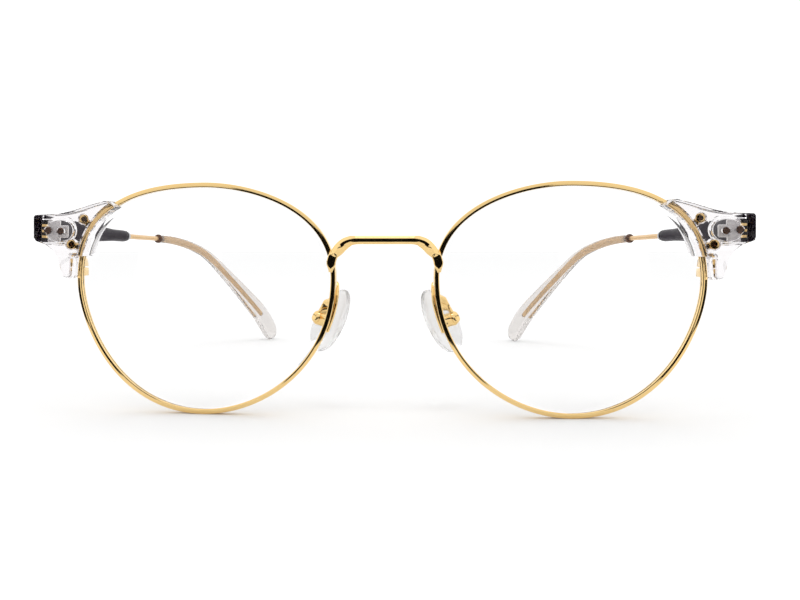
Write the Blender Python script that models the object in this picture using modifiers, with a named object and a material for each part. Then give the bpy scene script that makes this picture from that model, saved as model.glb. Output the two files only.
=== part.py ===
"""Panto-round combination eyeglasses: gold wire rims, clear end pieces, sleeved temples.

The front faces -Y, the temples run back along +Y, +X is the viewer's right and +Z is up.
The frame stands open: both rims and both temple tips touch z = 0, and the origin is under the
middle of its box. Every piece is worked out for the +X side and mirrored for the -X side.
All lengths below are millimetres and angles are degrees; MM turns lengths into metres.
"""
import math

import bmesh
import bpy
from mathutils import Matrix, Vector

MM = 0.001
GAP = 0.3                       # clearance between pieces that rest on each other
FRONT_Y = -60.7                 # the front plane, ahead of the middle of the box

# Rims and lenses
RIM_WIDTH, RIM_HEIGHT = 51.0, 44.2          # outside size of one rim
RIM_INNER_X = 9.3                           # nose side of the rim, from the middle plane
WIRE_WIDTH, WIRE_DEPTH = 0.95, 1.9
WIRE_CHAMFER = 0.22
WRAP = 3.8                                  # each rim turns back by this much
BASE_RADIUS = 132.0                         # base-4 lens curve
LENS_CENTRE_Y = 0.05
LENS_THICKNESS = 1.5
TOP_U, BOTTOM_U = 24.9, 25.2                # extreme points of the wire's middle line,
OUTER_V, NOSE_V = 25.5, 25.7                # from its nose side and from its bottom
TOP_HANDLES = (9.4, 14.2)                   # curve handles towards the nose and the outside
OUTER_HANDLES = (13.8, 8.1)                 # up and down
BOTTOM_HANDLES = (17.4, 11.1)               # towards the outside and the nose
NOSE_HANDLES = (17.2, 13.1)                 # down and up
RIM_STEPS = 16                              # spans on each quarter of the rim
SPLIT_HEIGHT = 27.9                         # where the rim is cut to let the lens in

# Bridge
BRIDGE_RADIUS = 0.8
BRIDGE_Y = -1.25
BRIDGE_TOP = 33.2
BRIDGE_LINE = [(9.75, 28.0), (9.45, 29.4), (8.85, 31.0), (7.9, 32.4), (6.5, BRIDGE_TOP)]

# Clear end piece
FACE_SLOPE = 9.4
FACE_START = (54.0, 0.3)                    # x and y of the front face at its thin end
END_THICKNESS = 5.2
MITRE_X, MITRE_Y = 63.4, 7.4                # flat back face that meets the temple
END_OUTLINE = [
    (53.4, 40.75), (56.5, 40.05), (60.0, 39.05), (63.7, 38.35), (68.65, 38.15), (68.95, 37.75),
    (68.95, 33.7), (68.55, 33.2), (66.0, 32.3), (64.2, 30.9), (63.2, 29.3), (62.8, 27.6),
    (62.3, 26.2), (60.9, 25.8),
]
LIP = 0.75                                  # how far the lip reaches over the lens
LIP_BOTTOM, LIP_TOP = 30.0, 39.6
OUTER_SIDE_X = 50.0                         # the rim's outer side lies beyond this x
BEHIND = 12.0                               # a y behind every part of the front

# Lugs that carry the end piece, and the closing block
LUGS = {"upper": ((58.4, 37.3), (-0.72, -0.70)), "lower": ((61.0, 32.4), (-0.95, -0.3))}
LUG_RADIUS, LUG_BORE, LUG_LENGTH = 0.9, 0.5, 2.4
SHANK_WIDTH, SHANK_DEPTH = 1.1, 1.5
LUG_FRONT_Y = 3.5
LUG_SCREW_RADIUS, LUG_HEAD_RADIUS = 0.35, 0.85
LUG_ROOM = 0.25                             # clearance round the lugs in the end piece
BLOCK_X = (58.7, 61.4)
BLOCK_DEPTH = 2.0
BLOCK_HEIGHT = 1.75                         # of each half
CLOSING_SCREW_X = 60.5
CLOSING_SCREW_RADIUS, CLOSING_HEAD_RADIUS, CLOSING_BORE = 0.45, 0.8, 0.6
SAW_CUT = 0.3                               # width of the split in the rim
HEAD_THICKNESS = 0.5                        # of the screw heads and rivet heads

# Hinge
AXIS_X, AXIS_Y = 67.4, 9.3
BARREL_RADIUS, BARREL_BORE = 0.95, 0.55
BARREL_BOTTOM, KNUCKLE_PITCH, KNUCKLE_GAP = 33.75, 0.54, 0.1
PLATE_X, PLATE_Z = (62.3, 67.0), (32.9, 37.2)
PLATE_THICKNESS = 1.2
PLATE_ROOM = 0.25                           # clearance round the plate and rivets
RIVETS = {"inner": (63.3, 35.0), "outer": (66.0, 35.2)}
RIVET_RADIUS, RIVET_DEPTH = 0.7, 2.3        # depth of the head behind the front face
HINGE_SCREW_RADIUS, HINGE_HEAD_RADIUS = 0.4, 0.8
TAIL_X, TAIL_Z, TAIL_END = (67.7, 68.9), (33.95, 36.05), 19.5

# Temple: middle line of the wire, from the hinge back to the end of the tip
TEMPLE_LINE = [
    (68.3, 20.0, 35.2), (68.4, 38.0, 34.8), (68.4, 55.0, 34.45), (68.2, 68.0, 34.2),
    (67.3, 81.0, 33.9), (64.5, 87.0, 33.3), (60.8, 93.2, 31.6), (57.2, 98.8, 28.6),
    (52.2, 106.0, 21.6), (47.7, 112.0, 14.9), (43.6, 117.4, 8.3), (40.3, 122.4, 0.69),
]
CORE_RADIUS = 0.65
BORE_RADIUS = 0.85                          # channel for the core wire
CORE_END_HEIGHT = 8.3                       # where the core wire stops inside the tip
SLEEVE_SECTIONS = [                         # y, x, z, half thickness, half height, squareness
    (7.7, 68.3, 35.60, 1.50, 2.60, 6.0), (14.0, 68.3, 35.50, 1.50, 2.55, 6.0),
    (22.0, 68.3, 35.30, 1.50, 2.40, 4.5), (30.0, 68.4, 35.05, 1.45, 2.10, 3.5),
    (38.0, 68.4, 34.80, 1.40, 1.75, 2.8), (46.0, 68.4, 34.62, 1.35, 1.45, 2.2),
    (53.0, 68.4, 34.48, 1.45, 1.45, 2.0), (54.6, 68.4, 34.45, 1.25, 1.25, 2.0),
]
FERRULE = (54.9, 55.9, 1.2)                 # start, end and radius of the grey ferrule
COLLAR = (80.0, 80.9, 1.25)                 # and of the dark collar at the tip's mouth
TIP_START_Y = 81.2
TIP_SECTIONS = [                            # part of the tip's length, half width, half depth
    (0.0, 1.05, 1.05), (0.10, 1.15, 1.10), (0.30, 1.35, 1.15), (0.52, 1.90, 1.25),
    (0.75, 2.75, 1.40), (0.88, 3.20, 1.40), (0.95, 3.10, 1.35), (0.975, 2.55, 1.2),
    (0.99, 1.75, 0.9), (1.0, 0.8, 0.5),
]

# Nose pads
PAD_CENTRE = Vector((11.1, 10.6, 17.2))
PAD_LONG = Vector((0.50, 0.24, -0.845)).normalized()
PAD_SPLAY = 45.0
PAD_SIZE = (14.2, 8.0, 3.2)                 # length, width and thickness
PIVOT_OFFSET = 2.9                          # from the pad's middle to its screw
BOX_SIZE = (2.6, 2.6, 2.3)
SLOT_WIDTH = 1.3
PAD_POCKET = ((-2.3, -1.5, 0.0), (2.3, 1.5, 4.0))       # corners, in the pad's own frame
PAD_PLATE = ((-2.0, -1.2, 0.25), (2.0, 1.2, 0.8))
TONGUE_LENGTH, TONGUE_THICKNESS = 1.4, 0.8
PAD_SCREW_RADIUS, PAD_BORE = 0.3, 0.45
ARM_RADIUS = 0.5
ARM_LOOP = [
    (9.15, 3.0, 23.9), (9.35, 4.2, 24.9), (10.1, 5.8, 24.2), (11.2, 7.2, 22.3), (12.2, 8.2, 20.4),
]

GOLD = ((0.83, 0.60, 0.26), 0.18, 1.0)
MATERIALS = {                               # colour, roughness, metallic, transmission
    "gold": (*GOLD, 0.0),
    "clear": ((0.95, 0.95, 0.95), 0.05, 0.0, 0.9),
    "lens": ((0.97, 0.98, 0.98), 0.02, 0.0, 0.95),
    "black": ((0.02, 0.02, 0.025), 0.3, 0.0, 0.0),
    "grey": ((0.5, 0.5, 0.5), 0.45, 0.0, 0.0),
    "brown": ((0.12, 0.05, 0.02), 0.4, 0.6, 0.0),
    "silicone": ((0.92, 0.92, 0.92), 0.3, 0.0, 0.5),
}


# ---------------------------------------------------------------- making and placing pieces

def clear_scene():
    for obj in list(bpy.data.objects):
        bpy.data.objects.remove(obj, do_unlink=True)


def material(name):
    """A Principled material of its own for each piece."""
    colour, roughness, metallic, transmission = MATERIALS[name]
    mat = bpy.data.materials.new(name)
    mat.use_nodes = True
    shader = mat.node_tree.nodes["Principled BSDF"]
    shader.inputs["Base Color"].default_value = (*colour, 1.0)
    shader.inputs["Roughness"].default_value = roughness
    shader.inputs["Metallic"].default_value = metallic
    shader.inputs["Transmission Weight"].default_value = transmission
    mat.diffuse_color = (*colour, 1.0)
    return mat


def working_object(mesh_or_curve):
    obj = bpy.data.objects.new("work", mesh_or_curve)
    bpy.context.scene.collection.objects.link(obj)
    return obj


def evaluated_mesh(obj):
    """The object's mesh with its modifiers, in the scene's frame; the object is removed."""
    graph = bpy.context.evaluated_depsgraph_get()
    mesh = bpy.data.meshes.new_from_object(obj.evaluated_get(graph))
    mesh.transform(obj.matrix_world)
    bpy.data.objects.remove(obj, do_unlink=True)
    return mesh


def from_bmesh(bm):
    """A mesh whose faces all point out."""
    bm.normal_update()
    bmesh.ops.recalc_face_normals(bm, faces=bm.faces)
    if bm.calc_volume(signed=True) < 0:
        bmesh.ops.reverse_faces(bm, faces=bm.faces)
    mesh = bpy.data.meshes.new("work")
    bm.to_mesh(mesh)
    bm.free()
    return mesh


def combine(mesh, others, operation):
    """Boolean of closed meshes, with the exact solver."""
    obj = working_object(mesh)
    tools = [working_object(other) for other in others]
    for tool in tools:
        modifier = obj.modifiers.new(operation.lower(), "BOOLEAN")
        modifier.operation = operation
        modifier.solver = "EXACT"
        modifier.object = tool
    result = evaluated_mesh(obj)
    for tool in tools:
        bpy.data.objects.remove(tool, do_unlink=True)
    return result


def cut(mesh, *cutters):
    return combine(mesh, cutters, "DIFFERENCE")


def fuse(mesh, *others):
    return combine(mesh, others, "UNION")


def mirrored(mesh):
    copy = mesh.copy()
    copy.transform(Matrix.Scale(-1, 4, (1, 0, 0)))
    copy.flip_normals()
    return copy


class Assembly:
    """The collection, its base empty and one empty on each joint's axis."""

    def __init__(self, name):
        self.collection = bpy.data.collections.new(name)
        bpy.context.scene.collection.children.link(self.collection)
        self.anchors = {}
        self.add_anchor("frame_base", Vector((0, 0, 0)))

    def add_anchor(self, name, place):
        empty = bpy.data.objects.new(name, None)
        empty.empty_display_size = 5 * MM
        self.collection.objects.link(empty)
        if name == "frame_base":
            empty.location = (0, FRONT_Y * MM, 0)
        else:
            empty.parent = self.anchors["frame_base"][0]
            empty.location = place * MM
        self.anchors[name] = (empty, place.copy())

    def add(self, name, mesh, finish, anchor="frame_base"):
        """Puts a mesh made in millimetres under its empty, as one named part."""
        empty, place = self.anchors[anchor]
        mesh.transform(Matrix.Scale(MM, 4) @ Matrix.Translation(-place))
        mesh.name = name
        mesh.materials.clear()
        mesh.materials.append(material(finish))
        mesh.shade_smooth()
        mesh.set_sharp_from_angle(angle=math.radians(35))
        obj = bpy.data.objects.new(name, mesh)
        obj.parent = empty
        self.collection.objects.link(obj)

    def add_pair(self, name, mesh, finish, anchor=None):
        """The part on the right as made, and its mirror image on the left."""
        other = mirrored(mesh)
        for side, shape in (("right", mesh), ("left", other)):
            self.add(f"{name}_{side}", shape, finish, f"{anchor}_{side}" if anchor else "frame_base")


# ---------------------------------------------------------------- shapes

def box(low, high, frame=None):
    """A box between two corners, in the frame given."""
    low, high = Vector(low), Vector(high)
    bm = bmesh.new()
    bmesh.ops.create_cube(bm, size=1.0)
    size = high - low
    place = Matrix.Translation((low + high) / 2) @ Matrix.Diagonal((*size, 1.0))
    bm.transform(frame @ place if frame else place)
    return from_bmesh(bm)


def rod(start, end, radius, segments=16, end_radius=None):
    """A cylinder or cone with its axis from start to end."""
    start, end = Vector(start), Vector(end)
    bm = bmesh.new()
    bmesh.ops.create_cone(
        bm, cap_ends=True, segments=segments, radius1=radius,
        radius2=radius if end_radius is None else end_radius, depth=(end - start).length,
    )
    turn = (end - start).to_track_quat("Z", "Y").to_matrix().to_4x4()
    bm.transform(Matrix.Translation((start + end) / 2) @ turn)
    return from_bmesh(bm)


def swept(points, radius):
    """A round wire along points, closed at both ends."""
    curve = bpy.data.curves.new("work", "CURVE")
    curve.dimensions = "3D"
    spline = curve.splines.new("POLY")
    spline.points.add(len(points) - 1)
    for point, place in zip(spline.points, points):
        point.co = (*place, 1.0)
    curve.use_fill_caps = True
    curve.bevel_depth = radius
    curve.bevel_resolution = 2
    mesh = evaluated_mesh(working_object(curve))
    bm = bmesh.new()
    bm.from_mesh(mesh)
    bmesh.ops.remove_doubles(bm, verts=bm.verts, dist=1e-4)
    return from_bmesh(bm)


def loft(rings):
    """A closed skin over rings of points that all have the same count."""
    bm = bmesh.new()
    rows = [[bm.verts.new(point) for point in ring] for ring in rings]
    for lower, upper in zip(rows, rows[1:]):
        for i in range(len(lower)):
            j = (i + 1) % len(lower)
            bm.faces.new((lower[i], lower[j], upper[j], upper[i]))
    bm.faces.new(reversed(rows[0]))
    bm.faces.new(rows[-1])
    return from_bmesh(bm)


def extruded(outline, depth, frame):
    """A flat outline of (x, y) points made depth thick along the frame's +Z."""
    bm = bmesh.new()
    face = bm.faces.new([bm.verts.new((x, y, 0)) for x, y in outline])
    grown = bmesh.ops.extrude_face_region(bm, geom=[face])
    top = [item for item in grown["geom"] if isinstance(item, bmesh.types.BMVert)]
    bmesh.ops.translate(bm, verts=top, vec=(0, 0, depth))
    bm.transform(frame)
    return from_bmesh(bm)


def smooth_line(points, spacing):
    """Points at an even spacing along a smooth curve through the points given."""
    points = [Vector(p) for p in points]
    ends = [2 * points[0] - points[1], *points, 2 * points[-1] - points[-2]]
    fine = []
    for a, b, c, d in zip(ends, ends[1:], ends[2:], ends[3:]):
        for step in range(12):
            t = step / 12
            fine.append(0.5 * (
                2 * b + (c - a) * t + (2 * a - 5 * b + 4 * c - d) * t ** 2
                + (3 * b - a - 3 * c + d) * t ** 3
            ))
    fine.append(points[-1])
    lengths = [0.0]
    for a, b in zip(fine, fine[1:]):
        lengths.append(lengths[-1] + (b - a).length)
    count = max(2, round(lengths[-1] / spacing))
    line, i = [], 0
    for step in range(count + 1):
        target = lengths[-1] * step / count
        while i < len(fine) - 2 and lengths[i + 1] < target:
            i += 1
        part = (target - lengths[i]) / (lengths[i + 1] - lengths[i])
        line.append(fine[i].lerp(fine[i + 1], min(part, 1.0)))
    return line


def superellipse(half_x, half_z, squareness, count=16):
    ring = []
    for i in range(count):
        angle = 2 * math.pi * (i + 0.5) / count
        c, s = math.cos(angle), math.sin(angle)
        ring.append((
            half_x * math.copysign(abs(c) ** (2 / squareness), c),
            half_z * math.copysign(abs(s) ** (2 / squareness), s),
        ))
    return ring


# ---------------------------------------------------------------- rim outline

LINE_WIDTH, LINE_HEIGHT = RIM_WIDTH - WIRE_WIDTH, RIM_HEIGHT - WIRE_WIDTH
LENS_FRAME = (
    Matrix.Translation((
        RIM_INNER_X + WIRE_WIDTH / 2 + LINE_WIDTH / 2 * math.cos(math.radians(WRAP)),
        LENS_CENTRE_Y, RIM_HEIGHT / 2,
    ))
    @ Matrix.Rotation(math.radians(WRAP), 4, "Z") @ Matrix.Rotation(math.pi / 2, 4, "X")
)


def bezier(p0, p1, p2, p3, t):
    s = 1 - t
    return p0 * s ** 3 + p1 * (3 * s * s * t) + p2 * (3 * s * t * t) + p3 * t ** 3


def rim_outline():
    """The wire's middle line about the lens centre, from the outer side down and round."""
    top, bottom = Vector((TOP_U, LINE_HEIGHT)), Vector((BOTTOM_U, 0))
    outer, nose = Vector((LINE_WIDTH, OUTER_V)), Vector((0, NOSE_V))
    right, up = Vector((1, 0)), Vector((0, 1))
    quarters = [
        (outer, outer - up * OUTER_HANDLES[1], bottom + right * BOTTOM_HANDLES[0], bottom),
        (bottom, bottom - right * BOTTOM_HANDLES[1], nose - up * NOSE_HANDLES[0], nose),
        (nose, nose + up * NOSE_HANDLES[1], top - right * TOP_HANDLES[0], top),
        (top, top + right * TOP_HANDLES[1], outer + up * OUTER_HANDLES[0], outer),
    ]
    centre = Vector((LINE_WIDTH / 2, LINE_HEIGHT / 2))
    return [
        bezier(*quarter, step / RIM_STEPS) - centre
        for quarter in quarters for step in range(RIM_STEPS)
    ]


def moved_in(outline, distance):
    """The outline moved towards its inside, or outside when distance is negative."""
    moved = []
    for i, point in enumerate(outline):
        along = outline[(i + 1) % len(outline)] - outline[i - 1]
        inward = Vector((along.y, -along.x)).normalized()
        moved.append(point + inward * distance)
    return moved


def on_base_curve(point, depth=0.0):
    """A point of the lens plane set back on the lens's sphere, in the lens frame."""
    u, v = point
    return Vector((u, v, math.sqrt(BASE_RADIUS ** 2 - u * u - v * v) - BASE_RADIUS - depth))


def in_front_view(point):
    """x and z in the frame of the glasses of a point of the lens plane."""
    place = LENS_FRAME @ on_base_curve(point)
    return Vector((place.x, place.z))


def rim_place(height, side, outline):
    """The point of an outline at a height, on its nose side or its outer side."""
    points = [LENS_FRAME @ on_base_curve(p) for p in outline]
    middle = LENS_FRAME.translation.x
    for a, b in zip(points, points[1:] + points[:1]):
        outside = a.x > middle
        if outside == (side == "outer") and (a.z - height) * (b.z - height) <= 0 and a.z != b.z:
            return a.lerp(b, (height - a.z) / (b.z - a.z))
    raise ValueError("the rim does not reach this height")


# ---------------------------------------------------------------- front pieces

def wire_profile():
    """Section of the rim wire with chamfered corners: x to the lens side and y to the back."""
    w, d, c = WIRE_WIDTH / 2, WIRE_DEPTH / 2, WIRE_CHAMFER
    return [
        (-w + c, -d), (w - c, -d), (w, -d + c), (w, d - c),
        (w - c, d), (-w + c, d), (-w, d - c), (-w, -d + c),
    ]


def swept_rim(line, profile):
    """A section carried along the rim: x towards the lens, y back along the lens's normal."""
    rings = []
    for i, point in enumerate(line):
        along = (line[min(i + 1, len(line) - 1)] - line[max(i - 1, 0)]).normalized()
        back = Vector((0, 0, -1))
        inward = back.cross(along).normalized()
        rings.append([LENS_FRAME @ (point + inward * x + back * y) for x, y in profile])
    return loft(rings)


def split_line():
    """The rim's middle line as an open wire whose ends leave a saw cut at the split."""
    outline = rim_outline()
    points = [on_base_curve(p) for p in outline]
    spots = [LENS_FRAME @ p for p in points]
    start = next(
        i for i, spot in enumerate(spots)
        if spot.x > OUTER_SIDE_X and spot.z < SPLIT_HEIGHT - SAW_CUT / 2
    )
    turned = points[start:] + points[:start]
    lower = LENS_FRAME.inverted() @ rim_place(SPLIT_HEIGHT - SAW_CUT / 2, "outer", outline)
    upper = LENS_FRAME.inverted() @ rim_place(SPLIT_HEIGHT + SAW_CUT / 2, "outer", outline)
    inner = [
        p for p in turned
        if not ((LENS_FRAME @ p).x > OUTER_SIDE_X and abs((LENS_FRAME @ p).z - SPLIT_HEIGHT) < 0.5)
    ]
    return [lower, *inner, upper]


def make_rim():
    return swept_rim(split_line(), wire_profile())


def make_lens():
    """Rings of points on the lens's sphere, given their thickness by Solidify."""
    edge = moved_in(rim_outline(), WIRE_WIDTH / 2 + GAP)[::2]
    bm = bmesh.new()
    rows = []
    for share in (1.0, 0.8, 0.45):
        rows.append([bm.verts.new(on_base_curve(p * share)) for p in edge])
    for outer, inner in zip(rows, rows[1:]):
        for i in range(len(outer)):
            j = (i + 1) % len(outer)
            bm.faces.new((outer[i], outer[j], inner[j], inner[i]))
    centre = bm.verts.new(on_base_curve((0, 0)))
    for i in range(len(edge)):
        bm.faces.new((rows[-1][i], rows[-1][(i + 1) % len(edge)], centre))
    bm.transform(LENS_FRAME)
    obj = working_object(from_bmesh(bm))
    shell = obj.modifiers.new("thickness", "SOLIDIFY")
    shell.thickness = LENS_THICKNESS
    shell.offset = 0.0
    return evaluated_mesh(obj)


def make_bridge():
    """One bent rod: a level bar, a rounded corner and a leg on each side."""
    half = smooth_line([(x, BRIDGE_Y, z) for x, z in BRIDGE_LINE], 0.7)
    other = [Vector((-p.x, p.y, p.z)) for p in reversed(half)]
    return swept(half + other, radius=BRIDGE_RADIUS)


def screw(start, neck, radius, head_radius):
    """A plain shank from start to neck with a flat round head beyond it."""
    along = (neck - start).normalized()
    shank = rod(start, neck + along * HEAD_THICKNESS / 2, radius, 12)
    return fuse(shank, rod(neck, neck + along * HEAD_THICKNESS, head_radius, 16))


def closing_block(low, high):
    """One half of the block behind the rim, with its screw hole."""
    y0 = block_front()
    body = box((BLOCK_X[0], y0, low), (BLOCK_X[1], y0 + BLOCK_DEPTH, high))
    y = y0 + BLOCK_DEPTH / 2
    hole = rod((CLOSING_SCREW_X, y, low - 1), (CLOSING_SCREW_X, y, high + 1), CLOSING_BORE, 12)
    return cut(body, hole)


def block_front():
    """Just behind the rim where it is split."""
    return rim_place(SPLIT_HEIGHT, "outer", rim_outline()).y + WIRE_DEPTH / 2 + 0.2


def make_closing_screw():
    y = block_front() + BLOCK_DEPTH / 2
    low, high = SPLIT_HEIGHT - BLOCK_HEIGHT, SPLIT_HEIGHT + BLOCK_HEIGHT + GAP
    return screw(
        Vector((CLOSING_SCREW_X, y, low)), Vector((CLOSING_SCREW_X, y, high)),
        CLOSING_SCREW_RADIUS, CLOSING_HEAD_RADIUS,
    )


def lug_shank_frame(centre, direction):
    """Frame at a lug's axis: +X towards the rim, +Y back."""
    dx, dz = Vector(direction).normalized()
    frame = Matrix(((dx, 0, -dz, 0), (0, 1, 0, 0), (dz, 0, dx, 0), (0, 0, 0, 1)))
    return Matrix.Translation((centre[0], LUG_FRONT_Y, centre[1])) @ frame


def lug_reach(centre, direction):
    """Distance from a lug's axis to the rim's outer edge, along its shank."""
    edge = [in_front_view(p) for p in moved_in(rim_outline(), -WIRE_WIDTH / 2)]
    start, along = Vector(centre), Vector(direction).normalized()
    best = None
    for point in edge:
        offset = point - start
        aside = abs(offset.x * along.y - offset.y * along.x)
        ahead = 0 < offset.dot(along) < 5
        if ahead and (best is None or aside < best[0]):
            best = (aside, offset.dot(along))
    return best[1]


def lug_shape(centre, direction, room=0.0):
    """Ring and shank of a lug, larger all round by room."""
    frame = lug_shank_frame(centre, direction)
    reach = lug_reach(centre, direction)
    ring = rod(
        frame @ Vector((0, -room, 0)), frame @ Vector((0, LUG_LENGTH + room, 0)),
        LUG_RADIUS + room, 20,
    )
    half = SHANK_WIDTH / 2 + room
    middle = LUG_LENGTH / 2
    shank = box(
        (0.2, middle - SHANK_DEPTH / 2 - room, -half),
        (reach - 0.2 + 2 * room, middle + SHANK_DEPTH / 2 + room, half), frame,
    )
    return fuse(ring, shank)


def make_lug(centre, direction):
    frame = lug_shank_frame(centre, direction)
    bore = rod(frame @ Vector((0, -1, 0)), frame @ Vector((0, LUG_LENGTH + 1, 0)), LUG_BORE, 16)
    return cut(lug_shape(centre, direction), bore)


def make_lug_screw(centre):
    """Screw from the back: its head stands just off the ring and its shank shows in the bore."""
    x, z = centre
    start = Vector((x, LUG_FRONT_Y + LUG_LENGTH / 4, z))
    neck = Vector((x, LUG_FRONT_Y + LUG_LENGTH + GAP / 2, z))
    return screw(start, neck, LUG_SCREW_RADIUS, LUG_HEAD_RADIUS)


def face_frame():
    """Frame of the end piece's front face: +X along it, +Y up and +Z back through it."""
    slope = math.radians(FACE_SLOPE)
    turn = Matrix.Rotation(slope, 4, "Z") @ Matrix(
        ((1, 0, 0, 0), (0, 0, 1, 0), (0, 1, 0, 0), (0, 0, 0, 1))
    )
    return Matrix.Translation((FACE_START[0], FACE_START[1], 0)) @ turn


def end_piece_outline():
    """Front-view outline: the outer edge, then a lip that follows the inside of the rim."""
    outer_edge = moved_in(rim_outline(), -WIRE_WIDTH / 2 - GAP)
    foot = rim_place(26.3, "outer", outer_edge)
    step = rim_place(LIP_BOTTOM, "outer", outer_edge)
    lip = [in_front_view(p) for p in moved_in(rim_outline(), WIRE_WIDTH / 2 + LIP)]
    lip = [p for p in lip if p.x > OUTER_SIDE_X and LIP_BOTTOM - 0.2 < p.y < LIP_TOP]
    lip.sort(key=lambda p: p.y)
    line = [Vector(p) for p in END_OUTLINE]
    line += [Vector((foot.x, foot.z)), Vector((step.x, step.z))]
    return line + lip


def rim_room():
    """The space kept free for the rim and lens behind the end piece's lip."""
    line = [on_base_curve(p) for p in rim_outline()]
    outside, front = -WIRE_WIDTH / 2 - GAP, -WIRE_DEPTH / 2 - GAP
    inside, back = WIRE_WIDTH / 2 + 2 * LIP, 2 * END_THICKNESS
    section = [(outside, front), (inside, front), (inside, back), (outside, back)]
    return swept_rim(line[-RIM_STEPS:] + line[:5], section)


def make_end_piece():
    frame = face_frame()
    slope = math.cos(math.radians(FACE_SLOPE))
    outline = [((p.x - FACE_START[0]) / slope, p.y) for p in end_piece_outline()]
    body = extruded(outline, END_THICKNESS, frame)
    cutters = [rim_room(), box((MITRE_X, MITRE_Y, 20), (80, 20, 50))]
    for centre, direction in LUGS.values():
        cutters.append(lug_shape(centre, direction, room=LUG_ROOM))
        x, z = centre
        top = LUG_FRONT_Y + LUG_LENGTH
        cutters.append(rod((x, top - 0.5, z), (x, BEHIND, z), LUG_HEAD_RADIUS + 0.2, 16))
    low = (BLOCK_X[0] - 3, block_front() - GAP, 20)
    high = (BLOCK_X[1] + GAP, BEHIND, SPLIT_HEIGHT + BLOCK_HEIGHT + HEAD_THICKNESS + 2 * GAP)
    cutters.append(box(low, high))
    room = PLATE_ROOM
    cutters.append(box(
        (PLATE_X[0] - room, MITRE_Y - PLATE_THICKNESS - room, PLATE_Z[0] - room),
        (AXIS_X + BARREL_RADIUS + room, BEHIND, PLATE_Z[1] + room),
    ))
    for x, z in RIVETS.values():
        cutters.append(rod((x, rivet_front(x) - room, z), (x, MITRE_Y, z), RIVET_RADIUS + room, 16))
    return cut(body, *cutters)


def front_face_y(x):
    return FACE_START[1] + (x - FACE_START[0]) * math.tan(math.radians(FACE_SLOPE))


def rivet_front(x):
    return front_face_y(x) + RIVET_DEPTH


def make_rivet(place):
    """A pin sunk in the end piece, whose head shows from the front."""
    x, z = place
    back = MITRE_Y - PLATE_THICKNESS - 0.2
    neck = rivet_front(x) + HEAD_THICKNESS
    return screw(Vector((x, back, z)), Vector((x, neck, z)), RIVET_RADIUS * 0.7, RIVET_RADIUS)


# ---------------------------------------------------------------- hinge

def knuckle(slot, web_low, web_high):
    """One knuckle of the barrel with the web that joins it to its leaf."""
    low = BARREL_BOTTOM + slot * KNUCKLE_PITCH + KNUCKLE_GAP / 2
    high = low + KNUCKLE_PITCH - KNUCKLE_GAP
    barrel = rod((AXIS_X, AXIS_Y, low), (AXIS_X, AXIS_Y, high), BARREL_RADIUS, 20)
    web = box((*web_low, low), (*web_high, high))
    solid = fuse(barrel, web)
    bore = rod((AXIS_X, AXIS_Y, low - 1), (AXIS_X, AXIS_Y, high + 1), BARREL_BORE, 16)
    return cut(solid, bore)


def make_front_leaf():
    """Plate let into the end piece, with three knuckles behind it."""
    plate = box(
        (PLATE_X[0], MITRE_Y - PLATE_THICKNESS, PLATE_Z[0]), (PLATE_X[1], MITRE_Y, PLATE_Z[1])
    )
    webs = ((AXIS_X - BARREL_RADIUS * 0.98, MITRE_Y - 0.5), (AXIS_X + BARREL_RADIUS * 0.98, AXIS_Y))
    return fuse(plate, *[knuckle(slot, *webs) for slot in (0, 2, 4)])


def make_rear_leaf():
    """Tail inside the sleeve, with two knuckles in front of it."""
    tail = box(
        (TAIL_X[0], AXIS_Y + BARREL_RADIUS + 0.35, TAIL_Z[0]), (TAIL_X[1], TAIL_END, TAIL_Z[1])
    )
    webs = ((AXIS_X + 0.35, AXIS_Y), (AXIS_X + BARREL_RADIUS * 0.98, AXIS_Y + BARREL_RADIUS + 0.7))
    return fuse(tail, *[knuckle(slot, *webs) for slot in (1, 3)])


def make_hinge_screw():
    top = BARREL_BOTTOM + 5 * KNUCKLE_PITCH
    return screw(
        Vector((AXIS_X, AXIS_Y, BARREL_BOTTOM)), Vector((AXIS_X, AXIS_Y, top + KNUCKLE_GAP)),
        HINGE_SCREW_RADIUS, HINGE_HEAD_RADIUS,
    )


# ---------------------------------------------------------------- temple

def temple_path(spacing=3.0):
    return smooth_line(TEMPLE_LINE, spacing)


def core_line():
    return [p for p in temple_path() if p.z > CORE_END_HEIGHT]


def bore(room_ahead=1.5):
    """Channel for the core wire, from ahead of its start to just past its end."""
    line = core_line()
    first = line[0] - (line[1] - line[0]).normalized() * room_ahead
    last = line[-1] + (line[-1] - line[-2]).normalized() * GAP
    return swept([first, *line[1:], last], radius=BORE_RADIUS)


def make_core():
    return swept(core_line(), radius=CORE_RADIUS)


def make_sleeve():
    rings = []
    for y, x, z, half_x, half_z, squareness in SLEEVE_SECTIONS:
        ring = superellipse(half_x, half_z, squareness)
        rings.append([Vector((x + dx, y, z + dz)) for dx, dz in ring])
    top = BARREL_BOTTOM + 5 * KNUCKLE_PITCH
    pocket = box(
        (60, 0, BARREL_BOTTOM - 0.25),
        (AXIS_X + BARREL_RADIUS + GAP, AXIS_Y + BARREL_RADIUS + GAP, top + 0.75),
    )
    room = 0.25
    tail = box(
        (TAIL_X[0] - room, AXIS_Y, TAIL_Z[0] - room), (TAIL_X[1] + room, TAIL_END + 1, TAIL_Z[1] + room)
    )
    return cut(loft(rings), pocket, tail, bore())


def ring_on_wire(start, end, radius):
    """A short turned ring round the core wire between two places along Y."""
    path = temple_path(0.5)
    a = min(path, key=lambda p: abs(p.y - start))
    b = min(path, key=lambda p: abs(p.y - end))
    along = (b - a).normalized()
    middle = (a + b) / 2
    half = along * (end - start) / 2
    body = rod(middle - half, middle + half, radius, 16)
    return cut(body, rod(middle - half * 3, middle + half * 3, BORE_RADIUS - 0.05, 16))


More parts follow.
